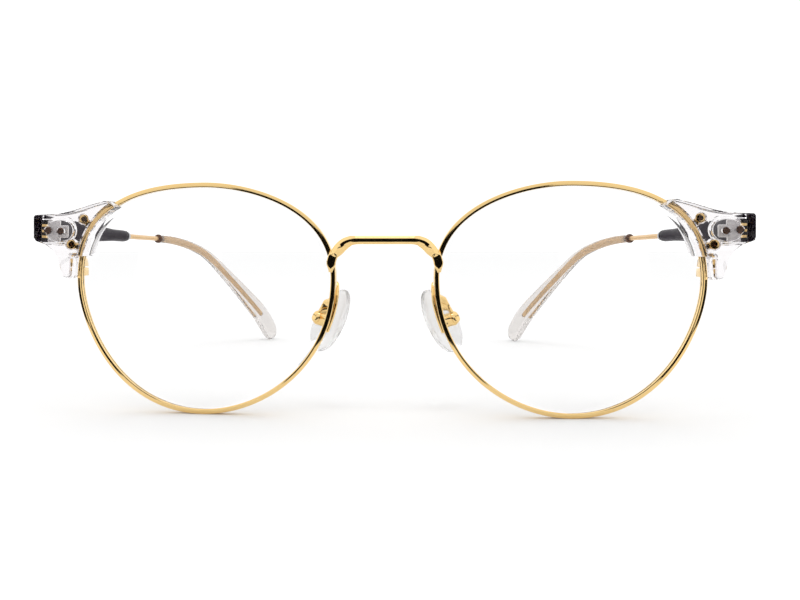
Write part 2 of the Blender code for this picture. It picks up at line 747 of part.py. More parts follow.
def make_tip():
    """Clear tip: round at its mouth, broad and flat towards its rounded end."""
    path = [p for p in temple_path(0.5) if p.y > TIP_START_Y]
    rings = []
    for station in tip_stations():
        index = min(round(station * (len(path) - 1)), len(path) - 2)
        place = path[index].lerp(path[index + 1], 1.0 if station == 1.0 else 0.0)
        along = (path[index + 1] - path[max(index - 1, 0)]).normalized()
        aside = along.cross(Vector((0, 0, 1))).normalized()
        upward = aside.cross(along).normalized()
        half_b, half_t = tip_size(station)
        ring = superellipse(half_t, half_b, 2.2, count=10)
        rings.append([place + aside * a + upward * b for a, b in ring])
    return cut(loft(rings), bore())


def tip_stations():
    return [i / 13 for i in range(12)] + [0.90, 0.95, 0.975, 0.99, 1.0]


def tip_size(station):
    for (s0, b0, t0), (s1, b1, t1) in zip(TIP_SECTIONS, TIP_SECTIONS[1:]):
        if s0 <= station <= s1:
            part = (station - s0) / (s1 - s0)
            return b0 + (b1 - b0) * part, t0 + (t1 - t0) * part
    return TIP_SECTIONS[-1][1:]


# ---------------------------------------------------------------- nose pads

def pad_frame():
    """Frame at the pad's middle: +X along it, +Y across it and +Z away from the nose."""
    splay = math.radians(PAD_SPLAY)
    across = Vector((math.sin(splay), math.cos(splay), 0))
    across = (across - PAD_LONG * across.dot(PAD_LONG)).normalized()
    away = PAD_LONG.cross(across)
    turn = Matrix((PAD_LONG, across, away)).transposed().to_4x4()
    return Matrix.Translation(PAD_CENTRE) @ turn


def pad_pivot():
    return pad_frame() @ Vector((0, 0, PIVOT_OFFSET))


def across_pad(half_length, radius, segments):
    """A rod on the pad's rocking axis."""
    frame = pad_frame()
    return rod(
        frame @ Vector((0, -half_length, PIVOT_OFFSET)),
        frame @ Vector((0, half_length, PIVOT_OFFSET)), radius, segments,
    )


def make_pad():
    """A flattened egg with a pocket for its metal insert."""
    bm = bmesh.new()
    bmesh.ops.create_uvsphere(bm, u_segments=20, v_segments=12, radius=0.5)
    bm.transform(Matrix.Rotation(math.pi / 2, 4, "Y"))
    length, width, thickness = PAD_SIZE
    for vert in bm.verts:
        x, y, z = vert.co
        taper = 1 + 0.3 * x
        vert.co = (x * length, y * width * taper, z * thickness)
    bm.transform(pad_frame())
    return cut(from_bmesh(bm), box(*PAD_POCKET, pad_frame()))


def make_pad_insert():
    """Plate inside the pad and the tongue that the pad screw goes through."""
    frame = pad_frame()
    plate = box(*PAD_PLATE, frame)
    length, half = TONGUE_LENGTH / 2, TONGUE_THICKNESS / 2
    tongue = box((-length, -half, PAD_PLATE[1][2] / 2), (length, half, PIVOT_OFFSET), frame)
    eye = across_pad(half, length, 16)
    return cut(fuse(plate, tongue, eye), across_pad(BOX_SIZE[1], PAD_BORE, 12))


def make_pad_box():
    """A small box open towards the pad, with cheeks that hold the screw."""
    frame = pad_frame()
    length, width, depth = BOX_SIZE
    low = PIVOT_OFFSET - 0.95
    body = box((-length / 2, -width / 2, low), (length / 2, width / 2, low + depth), frame)
    obj = working_object(body)
    edge = obj.modifiers.new("round", "BEVEL")
    edge.width = 0.4
    edge.segments = 2
    slot = box((-3, -SLOT_WIDTH / 2, 0), (3, SLOT_WIDTH / 2, PIVOT_OFFSET + 0.9), frame)
    hole = across_pad(width, PAD_BORE, 12)
    return cut(cut(evaluated_mesh(obj), hole), slot)


def make_pad_screw():
    return across_pad(BOX_SIZE[1] / 2, PAD_SCREW_RADIUS, 12)


def make_pad_arm():
    """Bent wire: up the back of the rim, over in a loop and down to the pad box."""
    outline = rim_outline()
    foot = []
    for height, aside in ((15.6, 0.55), (18.6, 0.6), (21.4, 0.65)):
        place = rim_place(height, "nose", outline)
        back = place.y + WIRE_DEPTH / 2 + GAP + ARM_RADIUS
        foot.append((place.x - aside, back, height))
    end = pad_frame() @ Vector((-BOX_SIZE[0] / 2 - GAP, 0, PIVOT_OFFSET + 0.2))
    return swept(smooth_line([*foot, *ARM_LOOP, end], 0.8), radius=ARM_RADIUS)


# ---------------------------------------------------------------- assembly

def main():
    clear_scene()
    glasses = Assembly("round_wire_eyeglasses")
    axis_z = BARREL_BOTTOM + 2.5 * KNUCKLE_PITCH
    for side, sign in (("right", 1), ("left", -1)):
        glasses.add_anchor(f"temple_axis_{side}", Vector((sign * AXIS_X, AXIS_Y, axis_z)))
        pivot = pad_pivot()
        glasses.add_anchor(f"pad_axis_{side}", Vector((sign * pivot.x, pivot.y, pivot.z)))

    glasses.add("bridge", make_bridge(), "gold")
    glasses.add_pair("rim", make_rim(), "gold")
    glasses.add_pair("lens", make_lens(), "lens")
    low, high = SPLIT_HEIGHT - BLOCK_HEIGHT, SPLIT_HEIGHT + BLOCK_HEIGHT
    slit = SAW_CUT / 3
    glasses.add_pair("closing_block_lower", closing_block(low, SPLIT_HEIGHT - slit), "gold")
    glasses.add_pair("closing_block_upper", closing_block(SPLIT_HEIGHT + slit, high), "gold")
    glasses.add_pair("closing_screw", make_closing_screw(), "gold")
    for name, (centre, direction) in LUGS.items():
        glasses.add_pair(f"rim_lug_{name}", make_lug(centre, direction), "gold")
        glasses.add_pair(f"lug_screw_{name}", make_lug_screw(centre), "brown")
    glasses.add_pair("end_piece", make_end_piece(), "clear")
    glasses.add_pair("hinge_front_leaf", make_front_leaf(), "gold")
    for name, place in RIVETS.items():
        glasses.add_pair(f"hinge_rivet_{name}", make_rivet(place), "brown")
    glasses.add_pair("hinge_screw", make_hinge_screw(), "gold")

    glasses.add_pair("hinge_rear_leaf", make_rear_leaf(), "gold", "temple_axis")
    glasses.add_pair("temple_sleeve", make_sleeve(), "black", "temple_axis")
    glasses.add_pair("temple_ferrule", ring_on_wire(*FERRULE), "grey", "temple_axis")
    glasses.add_pair("temple_core", make_core(), "gold", "temple_axis")
    glasses.add_pair("tip_collar", ring_on_wire(*COLLAR), "brown", "temple_axis")
    glasses.add_pair("temple_tip", make_tip(), "clear", "temple_axis")

    glasses.add_pair("pad_arm", make_pad_arm(), "gold")
    glasses.add_pair("pad_box", make_pad_box(), "gold")
    glasses.add_pair("pad_screw", make_pad_screw(), "gold")
    glasses.add_pair("pad_insert", make_pad_insert(), "gold", "pad_axis")
    glasses.add_pair("nose_pad", make_pad(), "silicone", "pad_axis")


main()
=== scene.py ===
"""Looks of the panto-round wire eyeglasses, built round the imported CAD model.

Lengths of the glasses are in millimetres, with y counted back from their front plane, and add()
turns them into the frame's metres. Everything is made for the +X side and mirrored by add_pair().
"""

import math

import bmesh
import bpy
from mathutils import Matrix, Vector


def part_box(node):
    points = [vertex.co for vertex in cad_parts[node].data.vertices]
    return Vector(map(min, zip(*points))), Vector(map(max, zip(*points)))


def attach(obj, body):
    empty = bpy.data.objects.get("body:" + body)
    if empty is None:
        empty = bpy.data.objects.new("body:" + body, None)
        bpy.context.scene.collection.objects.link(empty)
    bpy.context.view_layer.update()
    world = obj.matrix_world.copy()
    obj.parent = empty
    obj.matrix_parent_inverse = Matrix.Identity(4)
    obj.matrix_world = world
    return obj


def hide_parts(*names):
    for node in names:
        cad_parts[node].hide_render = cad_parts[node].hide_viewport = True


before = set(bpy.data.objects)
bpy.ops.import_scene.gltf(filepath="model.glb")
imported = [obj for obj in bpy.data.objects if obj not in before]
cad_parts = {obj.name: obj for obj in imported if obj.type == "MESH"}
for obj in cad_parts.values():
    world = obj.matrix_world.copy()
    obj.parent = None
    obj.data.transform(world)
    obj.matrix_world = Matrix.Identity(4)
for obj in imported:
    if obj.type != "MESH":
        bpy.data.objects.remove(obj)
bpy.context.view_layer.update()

MM = 0.001
GAP = 0.3  # play between neighbouring pieces
BRIDGE_FRONT = -2.05  # y of the bridge's foremost point
FRONT_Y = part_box("bridge")[0].y / MM - BRIDGE_FRONT

# ---- sizes, most of them as in the CAD

RIM_WIDTH, RIM_HEIGHT, RIM_INNER_X = 51.0, 44.2, 9.3
WIRE_WIDTH, WIRE_DEPTH = 0.95, 1.9
WRAP, BASE_RADIUS, LENS_CENTRE_Y = 3.8, 132.0, 0.05
TOP_U, BOTTOM_U, OUTER_V, NOSE_V = 24.9, 25.2, 25.5, 25.7
TOP_HANDLES, OUTER_HANDLES = (9.4, 14.2), (13.8, 8.1)
BOTTOM_HANDLES, NOSE_HANDLES = (17.4, 11.1), (17.2, 13.1)
RIM_STEPS = 44  # points on each quarter of the rim
EYEWIRE_FALL = 0.09  # how far the front face falls back at its outer edge
SPLIT_HEIGHT, SAW_CUT = 27.9, 0.16  # where the eyewire is sawn through for the lens
OUTER_HALF_X = 50.0  # past this x only the rim's outer half is left
GROOVE_DEPTH, GROOVE_HALF, GROOVE_LIP = 0.34, 0.38, 0.06
LENS_HALF, LENS_CHAMFER = 0.45, 0.04  # half its thickness, and its edges' chamfer
LENS_FACE_IN, LENS_SEAT_IN, LENS_APEX_IN = 0.06, -0.03, -0.30
LENS_SHARES = (0.02, 0.15, 0.3, 0.45, 0.6, 0.75, 0.88, 0.96)

BRIDGE_RADIUS, BRIDGE_Y = 0.8, -1.25
BRIDGE_FOOT = (10.1, BRIDGE_Y + 0.35, 27.2)
BRIDGE_LINE = [(10.0, 28.0), (9.85, 29.4), (9.35, 30.7), (8.5, 31.9), (7.5, 32.75), (6.3, 33.2)]
BRIDGE_BAR_X = (5.6, 4.9, 3.9, 2.6, 1.3)
RIDGE_X, RIDGE_FADE_X = (5.4, 6.4), (8.0, 8.7)
LEAF_START_Z, LEAF_STOP_Z = (27.4, 28.8), (30.1, 30.8)
WEB_X, WEB_Z, FOOT_Z = (5.0, 8.0), (29.6, 31.8), (26.9, 29.0)

FACE_SLOPE, FACE_START, END_THICKNESS = 9.4, (54.0, 0.3), 5.2
MITRE_X, MITRE_Y = 63.4, 7.4
FAR_X, FAR_Y, LOW_Z, HIGH_Z = 80, 20, 20, 50  # past every edge of the end piece
NEAR_X = 60  # short of the sleeve and the hinge
END_OUTLINE = [
    (53.4, 40.75), (56.5, 40.05), (60.0, 39.05), (63.7, 38.35), (68.65, 38.15), (68.95, 37.75),
    (68.95, 33.7), (68.55, 33.2), (66.0, 32.3), (64.2, 30.9), (63.2, 29.3), (62.8, 27.6),
    (62.3, 26.2), (60.9, 25.8),
]
END_FOOT_Z = 26.3
LIP, LIP_BOTTOM, LIP_TOP, BEHIND = 0.45, 30.0, 39.6, 12.0
SIDE_X, DRAFT_X, DRAFT_Z = 68.0, 61.5, 33.5  # the outer side, and where its back edge is drawn out
OUTER_DRAFT = (0.4, 2.2)  # front edge drawn in, back edge drawn out

LUGS = {"upper": ((58.4, 37.3), (-0.72, -0.70)), "lower": ((61.0, 32.4), (-0.95, -0.3))}
LUG_RADIUS, LUG_BORE, LUG_LENGTH, LUG_FRONT_Y, LUG_EDGE = 0.9, 0.5, 2.4, 3.5, 0.12
SHANK_WIDTH, SHANK_DEPTH = 1.1, 1.5
LUG_HEAD_RADIUS, LUG_SCREW_RADIUS = 0.85, 0.44
DRIVER_SLOT_WIDTH, DRIVER_SLOT_DEPTH = 0.22, 0.2
BLOCK_X, BLOCK_DEPTH, BLOCK_HEIGHT, CLOSING_SCREW_X = (59.15, 61.6), 2.0, 1.75, 60.8

AXIS_X, AXIS_Y = 67.4, 9.3
BARREL_RADIUS, BARREL_BORE = 0.78, 0.5
BARREL_BOTTOM, KNUCKLE_PITCH, KNUCKLE_GAP, KNUCKLES = 33.75, 0.54, 0.1, 5
PLATE_X, PLATE_Z, PLATE_THICKNESS = (62.3, 67.0), (32.9, 37.2), 1.2
SQUARE_X, TONGUE_END_X, TONGUE_Z = (64.0, 66.5), 64.8, (33.8, 36.2)
BOWL_X, BOWL_Z, BOWL_DEPTH, BOWL_HALF, BOWL_SQUARENESS = 63.7, 35.1, 2.2, (3.9, 2.9), 2.2
BOWL_STEPS = [  # share of the depth, share of the size
    (0.0, 0.05), (0.0, 0.70), (0.04, 0.725), (0.30, 0.75), (0.36, 0.77), (0.38, 0.83),
    (0.42, 0.85), (0.62, 0.87), (0.68, 0.89), (0.70, 0.94), (0.75, 0.97), (1.0, 1.0),
    (2.2, 1.01),
]
RIVETS = {"inner": (63.3, 35.0), "outer": (66.0, 35.2)}
RIVET_RADIUS, RIVET_DEPTH = 0.7, 2.3
BUTT_LIP_X = 67.8  # outside this the sleeve's butt reaches forward
BUTT_LIP_END, BUTT_LIP_Z = (70.05, 8.8), (33.1, 38.1)
TAIL_X, TAIL_Z, TAIL_END = (67.7, 68.9), (33.95, 36.05), 19.5

TEMPLE_LINE = [
    (68.3, 20.0, 35.2), (68.4, 38.0, 34.8), (68.4, 55.0, 34.45), (68.2, 68.0, 34.2),
    (67.3, 81.0, 33.9), (64.5, 87.0, 33.3), (60.8, 93.2, 31.6), (57.2, 98.8, 28.6),
    (52.2, 106.0, 21.6), (47.7, 112.0, 14.9), (43.6, 117.4, 8.3), (40.3, 122.4, 0.69),
]
CORE_RADIUS, CORE_END_HEIGHT = 0.65, 8.3
SLEEVE_SECTIONS = [  # y, x, z, half width, half height, squareness
    (7.7, 68.45, 35.60, 1.65, 2.60, 6.0), (14.0, 68.35, 35.50, 1.55, 2.55, 6.0),
    (22.0, 68.3, 35.30, 1.50, 2.40, 4.5), (30.0, 68.4, 35.05, 1.45, 2.10, 3.5),
    (38.0, 68.4, 34.80, 1.40, 1.75, 2.8), (46.0, 68.4, 34.62, 1.35, 1.45, 2.2),
    (53.0, 68.4, 34.48, 1.45, 1.45, 2.0),
]
SLEEVE_BUTT, SLEEVE_STEP, SLEEVE_MOUTH = (7.7, 7.78, 7.95, 8.3), 1.4, (54.1, 54.4, 54.55, 54.6)
MOUTH_ROUND_Y = 53.6
# Start, end and radius of the grey ferrule, and of the dark ring at the tip's mouth whose dark
# brown is painted shade.
FERRULE, SHADE_RING = (54.9, 55.9, 1.2), (80.0, 80.9, 1.25)
TIP_START_Y = 81.2
TIP_SECTIONS = [  # share of the length, half breadth, half thickness
    (0.0, 1.05, 1.05), (0.10, 1.15, 1.10), (0.30, 1.35, 1.15), (0.52, 1.90, 1.25),
    (0.75, 2.75, 1.40), (0.88, 3.20, 1.40), (0.95, 3.10, 1.35),
]
TIP_END_STATIONS = [0.945, 0.955, 0.965, 0.973, 0.98, 0.986, 0.991, 0.995, 0.998, 1.0]

PAD_CENTRE, PAD_SPLAY, PAD_SIZE = Vector((11.1, 10.6, 17.2)), 45.0, (14.2, 8.0, 3.2)
PAD_LONG = Vector((0.50, 0.24, -0.845)).normalized()
PIVOT_OFFSET, BOX_SIZE, SLOT_WIDTH = 2.9, (2.6, 2.6, 2.3), 1.3
INSERT_HALF, INSERT_TONGUE_HALF, EYE_RADIUS = (1.9, 1.1), (0.7, 0.4), 0.7
ARM_RADIUS = 0.42
ARM_FEET = ((15.6, 0.55), (18.6, 0.6), (21.4, 0.65))  # height, distance in from the rim
ARM_LOOP = [
    (9.15, 3.0, 23.9), (9.35, 4.2, 24.9), (10.1, 5.8, 24.2), (11.2, 7.2, 22.3), (12.2, 8.2, 20.4),
]


# ---- camera and studio

CAMERA_PLACE = (2.7, FRONT_Y - 149.8, 32.6)
CAMERA_ANGLES = (0.48, -0.01, -3.51)  # pitch, roll and yaw, in degrees
SENSOR_WIDTH, FOCAL_LENGTH, CAMERA_SHIFT = 36.0, 36.09, (0.0625, -0.0625)

# The studio is in metres. The cards are the unlit side of the room.
WORLD_BEHIND, WORLD_AHEAD = (-1.0, 0.9), (-0.2, 1.18)  # y of the direction, brightness
LAMP_PLACE, LAMP_SIZE, LAMP_POWER = (0.0, -0.05, 0.5), (0.2, 0.08), 0.2
DARK_CARDS = {  # centre, size, normal
    "dark_ground": ((0.0, -0.2195, 0.0005), (1.10, 0.239), (0, 0, 1)),
    "dark_wall_middle": ((0.0, -0.34, 0.06), (0.23, 0.12), (0, 1, 0)),
    "dark_wall_left": ((-0.43, -0.34, 0.06), (0.34, 0.12), (0, 1, 0)),
    "dark_wall_right": ((0.43, -0.34, 0.06), (0.34, 0.12), (0, 1, 0)),
}


def make_camera():
    """At the photograph's place: 150 mm in front of the glasses, a little right of the middle."""
    pitch, roll, yaw = (math.radians(v) for v in CAMERA_ANGLES)
    turn = (
        Matrix.Rotation(pitch, 3, "X")
        @ Matrix.Rotation(roll, 3, "Y")
        @ Matrix.Rotation(yaw, 3, "Z")
    ).transposed()
    right, ahead, up = (turn @ Vector(v) for v in ((1, 0, 0), (0, 1, 0), (0, 0, 1)))
    data = bpy.data.cameras.new("camera")
    data.sensor_width, data.lens = SENSOR_WIDTH, FOCAL_LENGTH
    data.shift_x, data.shift_y = CAMERA_SHIFT
    data.clip_start, data.clip_end = 0.01, 20.0
    camera = bpy.data.objects.new("camera", data)
    camera.matrix_world = Matrix((right, up, -ahead)).transposed().to_4x4()
    camera.matrix_world.translation = Vector(CAMERA_PLACE) * MM
    bpy.context.scene.collection.objects.link(camera)
    bpy.context.scene.camera = camera


def stage_plane(name, centre, size, normal, shader):
    """A flat rectangle of the studio, not part of the glasses."""
    bm = bmesh.new()
    bmesh.ops.create_grid(bm, x_segments=1, y_segments=1, size=0.5)
    turn = Vector(normal).to_track_quat("Z", "Y").to_matrix().to_4x4()
    bm.transform(Matrix.Translation(centre) @ turn @ Matrix.Diagonal((*size, 1, 1)))
    mesh = bpy.data.meshes.new(name)
    bm.to_mesh(mesh)
    bm.free()
    mesh.materials.append(shader)
    obj = bpy.data.objects.new(name, mesh)
    bpy.context.scene.collection.objects.link(obj)
    return obj


def make_world():
    """White all round, a little brighter on the far side than behind the camera."""
    world = bpy.data.worlds.new("studio")
    world.use_nodes = True
    bpy.context.scene.world = world
    nodes, links = world.node_tree.nodes, world.node_tree.links
    nodes["Background"].inputs["Color"].default_value = (1.0, 1.0, 1.0, 1.0)
    direction, parts = nodes.new("ShaderNodeTexCoord"), nodes.new("ShaderNodeSeparateXYZ")
    strength = nodes.new("ShaderNodeMapRange")
    for end, (y, brightness) in (("Min", WORLD_BEHIND), ("Max", WORLD_AHEAD)):
        strength.inputs[f"From {end}"].default_value = y
        strength.inputs[f"To {end}"].default_value = brightness
    links.new(direction.outputs["Generated"], parts.inputs["Vector"])
    links.new(parts.outputs["Y"], strength.inputs["Value"])
    links.new(strength.outputs["Result"], nodes["Background"].inputs["Strength"])


def unlit_material():
    """Dark, and there only for light that a surface has reflected, so it's never seen itself."""
    dark = new_material("unlit_room", (0.004, 0.004, 0.004), roughness=1.0, Specular_IOR_Level=0.0)
    nodes, links = dark.node_tree.nodes, dark.node_tree.links
    path, nothing = nodes.new("ShaderNodeLightPath"), nodes.new("ShaderNodeBsdfTransparent")
    mix = nodes.new("ShaderNodeMixShader")
    links.new(path.outputs["Glossy Depth"], mix.inputs["Fac"])
    links.new(nothing.outputs["BSDF"], mix.inputs[1])
    links.new(nodes["Principled BSDF"].outputs["BSDF"], mix.inputs[2])
    links.new(mix.outputs["Shader"], nodes["Material Output"].inputs["Surface"])
    return dark


def make_studio():
    """Pale floor paper, a soft white surround, and dark bands for polished metal to reflect."""
    bpy.context.scene.view_settings.view_transform = "Standard"
    make_world()
    paper = finish(
        "floor_paper", (0.9, 0.9, 0.9), 0.9, 0.0,
        colours=(14.0, (0.905, 0.905, 0.905), (0.895, 0.895, 0.895)),
        polish=(40.0, 0.85, 0.95), bump=(900.0, 0.05, 0.00002), Specular_IOR_Level=0.1,
    )
    stage_plane("floor", (0, 0, -0.00002), (6.0, 6.0), (0, 0, 1), paper)
    dark = unlit_material()
    for name, (centre, size, normal) in DARK_CARDS.items():
        card = stage_plane(name, centre, size, normal, dark)
        card.visible_camera = card.visible_diffuse = False
        card.visible_shadow = card.visible_volume_scatter = False
    lamp = bpy.data.lights.new("top_softbox", "AREA")
    lamp.shape, lamp.size, lamp.size_y, lamp.energy = "RECTANGLE", *LAMP_SIZE, LAMP_POWER
    light = bpy.data.objects.new("top_softbox", lamp)
    light.location = LAMP_PLACE
    light.rotation_euler = Vector(LAMP_PLACE).to_track_quat("Z", "Y").to_euler()
    bpy.context.scene.collection.objects.link(light)


# ---- materials

def new_material(name, colour, roughness, metallic=0.0, **inputs):
    """A Principled material; inputs are its other sockets, with _ for each space."""
    mat = bpy.data.materials.new(name)
    mat.use_nodes = True
    shader = mat.node_tree.nodes["Principled BSDF"]
    shader.inputs["Base Color"].default_value = (*colour, 1.0)
    shader.inputs["Roughness"].default_value = roughness
    shader.inputs["Metallic"].default_value = metallic
    for key, value in inputs.items():
        shader.inputs[key.replace("_", " ")].default_value = value
    mat.diffuse_color = (*colour, 1.0)
    return mat


def noise_range(mat, scale, low, high, stretch=(1, 1, 1)):
    """A noise over the object, mapped to a range; returns the node's output."""
    nodes, links = mat.node_tree.nodes, mat.node_tree.links
    place = nodes.new("ShaderNodeTexCoord")
    mapping = nodes.new("ShaderNodeMapping")
    mapping.inputs["Scale"].default_value = stretch
    noise = nodes.new("ShaderNodeTexNoise")
    noise.inputs["Scale"].default_value = scale
    noise.inputs["Detail"].default_value = 4.0
    ranged = nodes.new("ShaderNodeMapRange")
    ranged.inputs["To Min"].default_value = low
    ranged.inputs["To Max"].default_value = high
    links.new(place.outputs["Object"], mapping.inputs["Vector"])
    links.new(mapping.outputs["Vector"], noise.inputs["Vector"])
    links.new(noise.outputs["Fac"], ranged.inputs["Value"])
    return ranged.outputs["Result"]


def vary_roughness(mat, scale, low, high, stretch):
    shader = mat.node_tree.nodes["Principled BSDF"]
    mat.node_tree.links.new(
        noise_range(mat, scale, low, high, stretch=stretch), shader.inputs["Roughness"]
    )


def vary_colour(mat, scale, one, other):
    nodes, links = mat.node_tree.nodes, mat.node_tree.links
    mix = nodes.new("ShaderNodeMix")
    mix.data_type = "RGBA"
    mix.inputs[6].default_value = (*one, 1.0)
    mix.inputs[7].default_value = (*other, 1.0)
    links.new(noise_range(mat, scale, 0.0, 1.0), mix.inputs["Factor"])
    links.new(mix.outputs[2], nodes["Principled BSDF"].inputs["Base Color"])


def add_bump(mat, scale, strength, distance, stretch):
    nodes, links = mat.node_tree.nodes, mat.node_tree.links
    bump = nodes.new("ShaderNodeBump")
    bump.inputs["Strength"].default_value = strength
    bump.inputs["Distance"].default_value = distance
    links.new(noise_range(mat, scale, 0.0, 1.0, stretch=stretch), bump.inputs["Height"])
    links.new(bump.outputs["Normal"], nodes["Principled BSDF"].inputs["Normal"])


def finish(
    name, colour, roughness, metallic, colours, polish, bump, stretch=(1, 1, 1), **inputs
):
    """A material that varies a little in colour and polish, and carries a fine bump.

    colours is the noise's scale and two colours; polish its scale and two roughnesses; bump its
    scale, strength and distance in metres. stretch draws the polish and bump out along the piece.
    """
    mat = new_material(name, colour, roughness, metallic, **inputs)
    vary_colour(mat, *colours)
    vary_roughness(mat, *polish, stretch)
    add_bump(mat, *bump, stretch)
    return mat


def make_materials():
    """The finishes, by the short names that add() is given."""
    return {
        "gold": finish(
            "polished_gold", (0.885, 0.625, 0.275), 0.07, 1.0,
            colours=(260.0, (0.905, 0.655, 0.305), (0.865, 0.595, 0.245)),
            polish=(900.0, 0.05, 0.12), bump=(1500.0, 0.08, 0.00002),
        ),
        "wire": finish(
            "temple_wire_gold", (0.72, 0.47, 0.21), 0.3, 1.0,
            colours=(300.0, (0.74, 0.49, 0.23), (0.69, 0.44, 0.19)),
            polish=(2500.0, 0.24, 0.36), bump=(2500.0, 0.08, 0.00002), stretch=(1, 0.05, 1),
        ),
        "steel": finish(
            "hinge_plate_nickel", (0.97, 0.965, 0.96), 0.4, 0.1,
            colours=(500.0, (0.985, 0.98, 0.975), (0.955, 0.95, 0.945)),
            polish=(1200.0, 0.34, 0.46), bump=(1800.0, 0.04, 0.00002),
        ),
        # Dark brown metal for the screws and rivets. On the tip collar the same dark brown is
        # painted shade, for the darkness that refraction gives at the clear tip's mouth.
        "dark": finish(
            "dark_metal_and_collar_shade", (0.11, 0.045, 0.015), 0.3, 0.7,
            colours=(1800.0, (0.13, 0.05, 0.018), (0.06, 0.025, 0.01)),
            polish=(2200.0, 0.22, 0.42), bump=(2400.0, 0.1, 0.00002),
        ),
        "black": finish(
            "black_acetate", (0.014, 0.009, 0.016), 0.3, 0.0,
            colours=(90.0, (0.017, 0.010, 0.019), (0.011, 0.008, 0.013)),
            polish=(700.0, 0.26, 0.34), bump=(420.0, 0.02, 0.00002),
            IOR=1.36, Specular_IOR_Level=0.05,
        ),
        "grey": finish(
            "ferrule_grey", (0.50, 0.50, 0.51), 0.35, 0.6,
            colours=(1500.0, (0.53, 0.53, 0.54), (0.46, 0.46, 0.47)),
            polish=(2600.0, 0.28, 0.48), bump=(2600.0, 0.1, 0.00002), stretch=(1, 0.1, 1),
        ),
        "clear": finish(
            "clear_acetate", (0.89, 0.868, 0.876), 0.02, 0.0,
            colours=(120.0, (0.90, 0.88, 0.888), (0.878, 0.856, 0.864)),
            polish=(500.0, 0.0, 0.015), bump=(260.0, 0.02, 0.00003),
            Transmission_Weight=1.0, IOR=1.42,
        ),
        "tip": finish(
            "tip_acetate", (0.80, 0.77, 0.75), 0.03, 0.0,
            colours=(150.0, (0.82, 0.79, 0.77), (0.78, 0.75, 0.73)),
            polish=(400.0, 0.0, 0.03), bump=(260.0, 0.02, 0.00003),
            Transmission_Weight=0.85, IOR=1.46,
        ),
        "lens": finish(
            "clear_lens", (0.998, 0.999, 1.0), 0.0, 0.0,
            colours=(40.0, (0.999, 1.0, 1.0), (0.996, 0.998, 0.999)),
            polish=(60.0, 0.0, 0.003), bump=(30.0, 0.01, 0.00001),
            Transmission_Weight=1.0, IOR=1.3,
        ),
        "silicone": finish(
            "soft_silicone", (0.93, 0.93, 0.93), 0.14, 0.0,
            colours=(300.0, (0.945, 0.94, 0.935), (0.915, 0.915, 0.92)),
            polish=(900.0, 0.10, 0.20), bump=(700.0, 0.06, 0.00003),
            Transmission_Weight=0.72, IOR=1.24,
        ),
    }


# ---- making and placing pieces

def new_object(mesh):
    obj = bpy.data.objects.new("work", mesh)
    bpy.context.scene.collection.objects.link(obj)
    return obj


def evaluated_mesh(obj):
    """The object's mesh after its modifiers; the object goes."""
    graph = bpy.context.evaluated_depsgraph_get()
    mesh = bpy.data.meshes.new_from_object(obj.evaluated_get(graph))
    bpy.data.objects.remove(obj, do_unlink=True)
    return mesh


def from_bmesh(bm):
    """A mesh whose faces all point outwards."""
    bm.normal_update()
    bmesh.ops.recalc_face_normals(bm, faces=bm.faces)
    if bm.calc_volume(signed=True) < 0:
        bmesh.ops.reverse_faces(bm, faces=bm.faces)
    mesh = bpy.data.meshes.new("work")
    bm.to_mesh(mesh)
    bm.free()
    return mesh


def combine(mesh, others, operation):
    obj = new_object(mesh)
    tools = [new_object(other) for other in others]
    for tool in tools:
        modifier = obj.modifiers.new(operation.lower(), "BOOLEAN")
        modifier.operation, modifier.solver, modifier.object = operation, "EXACT", tool
    result = evaluated_mesh(obj)
    for tool in tools:
        bpy.data.objects.remove(tool, do_unlink=True)
    return result


def cut(mesh, *cutters):
    return combine(mesh, cutters, "DIFFERENCE")


def fuse(mesh, *others):
    return combine(mesh, others, "UNION")


def bevelled(mesh, width, segments=2, angle=35.0):
    obj = new_object(mesh)
    modifier = obj.modifiers.new("edge", "BEVEL")
    modifier.width, modifier.segments = width, segments
    modifier.angle_limit = math.radians(angle)
    return evaluated_mesh(obj)


def add(name, mesh, material, body, nodes, sharp):
    """Puts a mesh made in millimetres in the frame, riding on a body in place of CAD nodes."""
    mesh.transform(Matrix.Scale(MM, 4) @ Matrix.Translation((0, FRONT_Y, 0)))
    mesh.name = name
    mesh.materials.clear()
    mesh.materials.append(MATERIALS[material])
    mesh.shade_smooth()
    mesh.set_sharp_from_angle(angle=math.radians(sharp))
    obj = bpy.data.objects.new(name, mesh)
    bpy.context.scene.collection.objects.link(obj)
    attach(obj, body)
    if nodes:
        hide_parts(*nodes)
    return obj


def add_pair(node, mesh, material, body="front", sharp=32.0, detail=None):
    """Stands for a CAD node on each side; detail names a further piece that replaces nothing."""
    other = mesh.copy()
    other.transform(Matrix.Scale(-1, 4, (1, 0, 0)))
    other.flip_normals()
    made = []
    for side, shape in (("right", mesh), ("left", other)):
        rides = body if body == "front" else f"{body}_{side}"
        name = f"{detail or node + '_look'}_{side}"
        nodes = [] if detail else [f"{node}_{side}"]
        made.append(add(name, shape, material, rides, nodes, sharp))
    return made


# ---- shapes

def box(low, high, turn=None):
    """A block between two corners, moved by turn if there is one."""
    low, high = Vector(low), Vector(high)
    bm = bmesh.new()
    bmesh.ops.create_cube(bm, size=1.0)
    put = Matrix.Translation((low + high) / 2) @ Matrix.Diagonal((*(high - low), 1.0))
    bm.transform(turn @ put if turn else put)
    return from_bmesh(bm)


def loft(rings):
    """A closed skin over rings of equally many points, with a flat face on each end."""
    bm = bmesh.new()
    rows = [[bm.verts.new(point) for point in ring] for ring in rings]
    for lower, upper in zip(rows, rows[1:]):
        for i in range(len(lower)):
            j = (i + 1) % len(lower)
            bm.faces.new((lower[i], lower[j], upper[j], upper[i]))
    bm.faces.new(reversed(rows[0]))
    bm.faces.new(rows[-1])
    return from_bmesh(bm)


def axes_along(start, end):
    """Two unit vectors square to the line from start to end."""
    along = (end - start).normalized()
    turn = along.to_track_quat("Z", "Y").to_matrix()
    return turn @ Vector((1, 0, 0)), turn @ Vector((0, 1, 0))


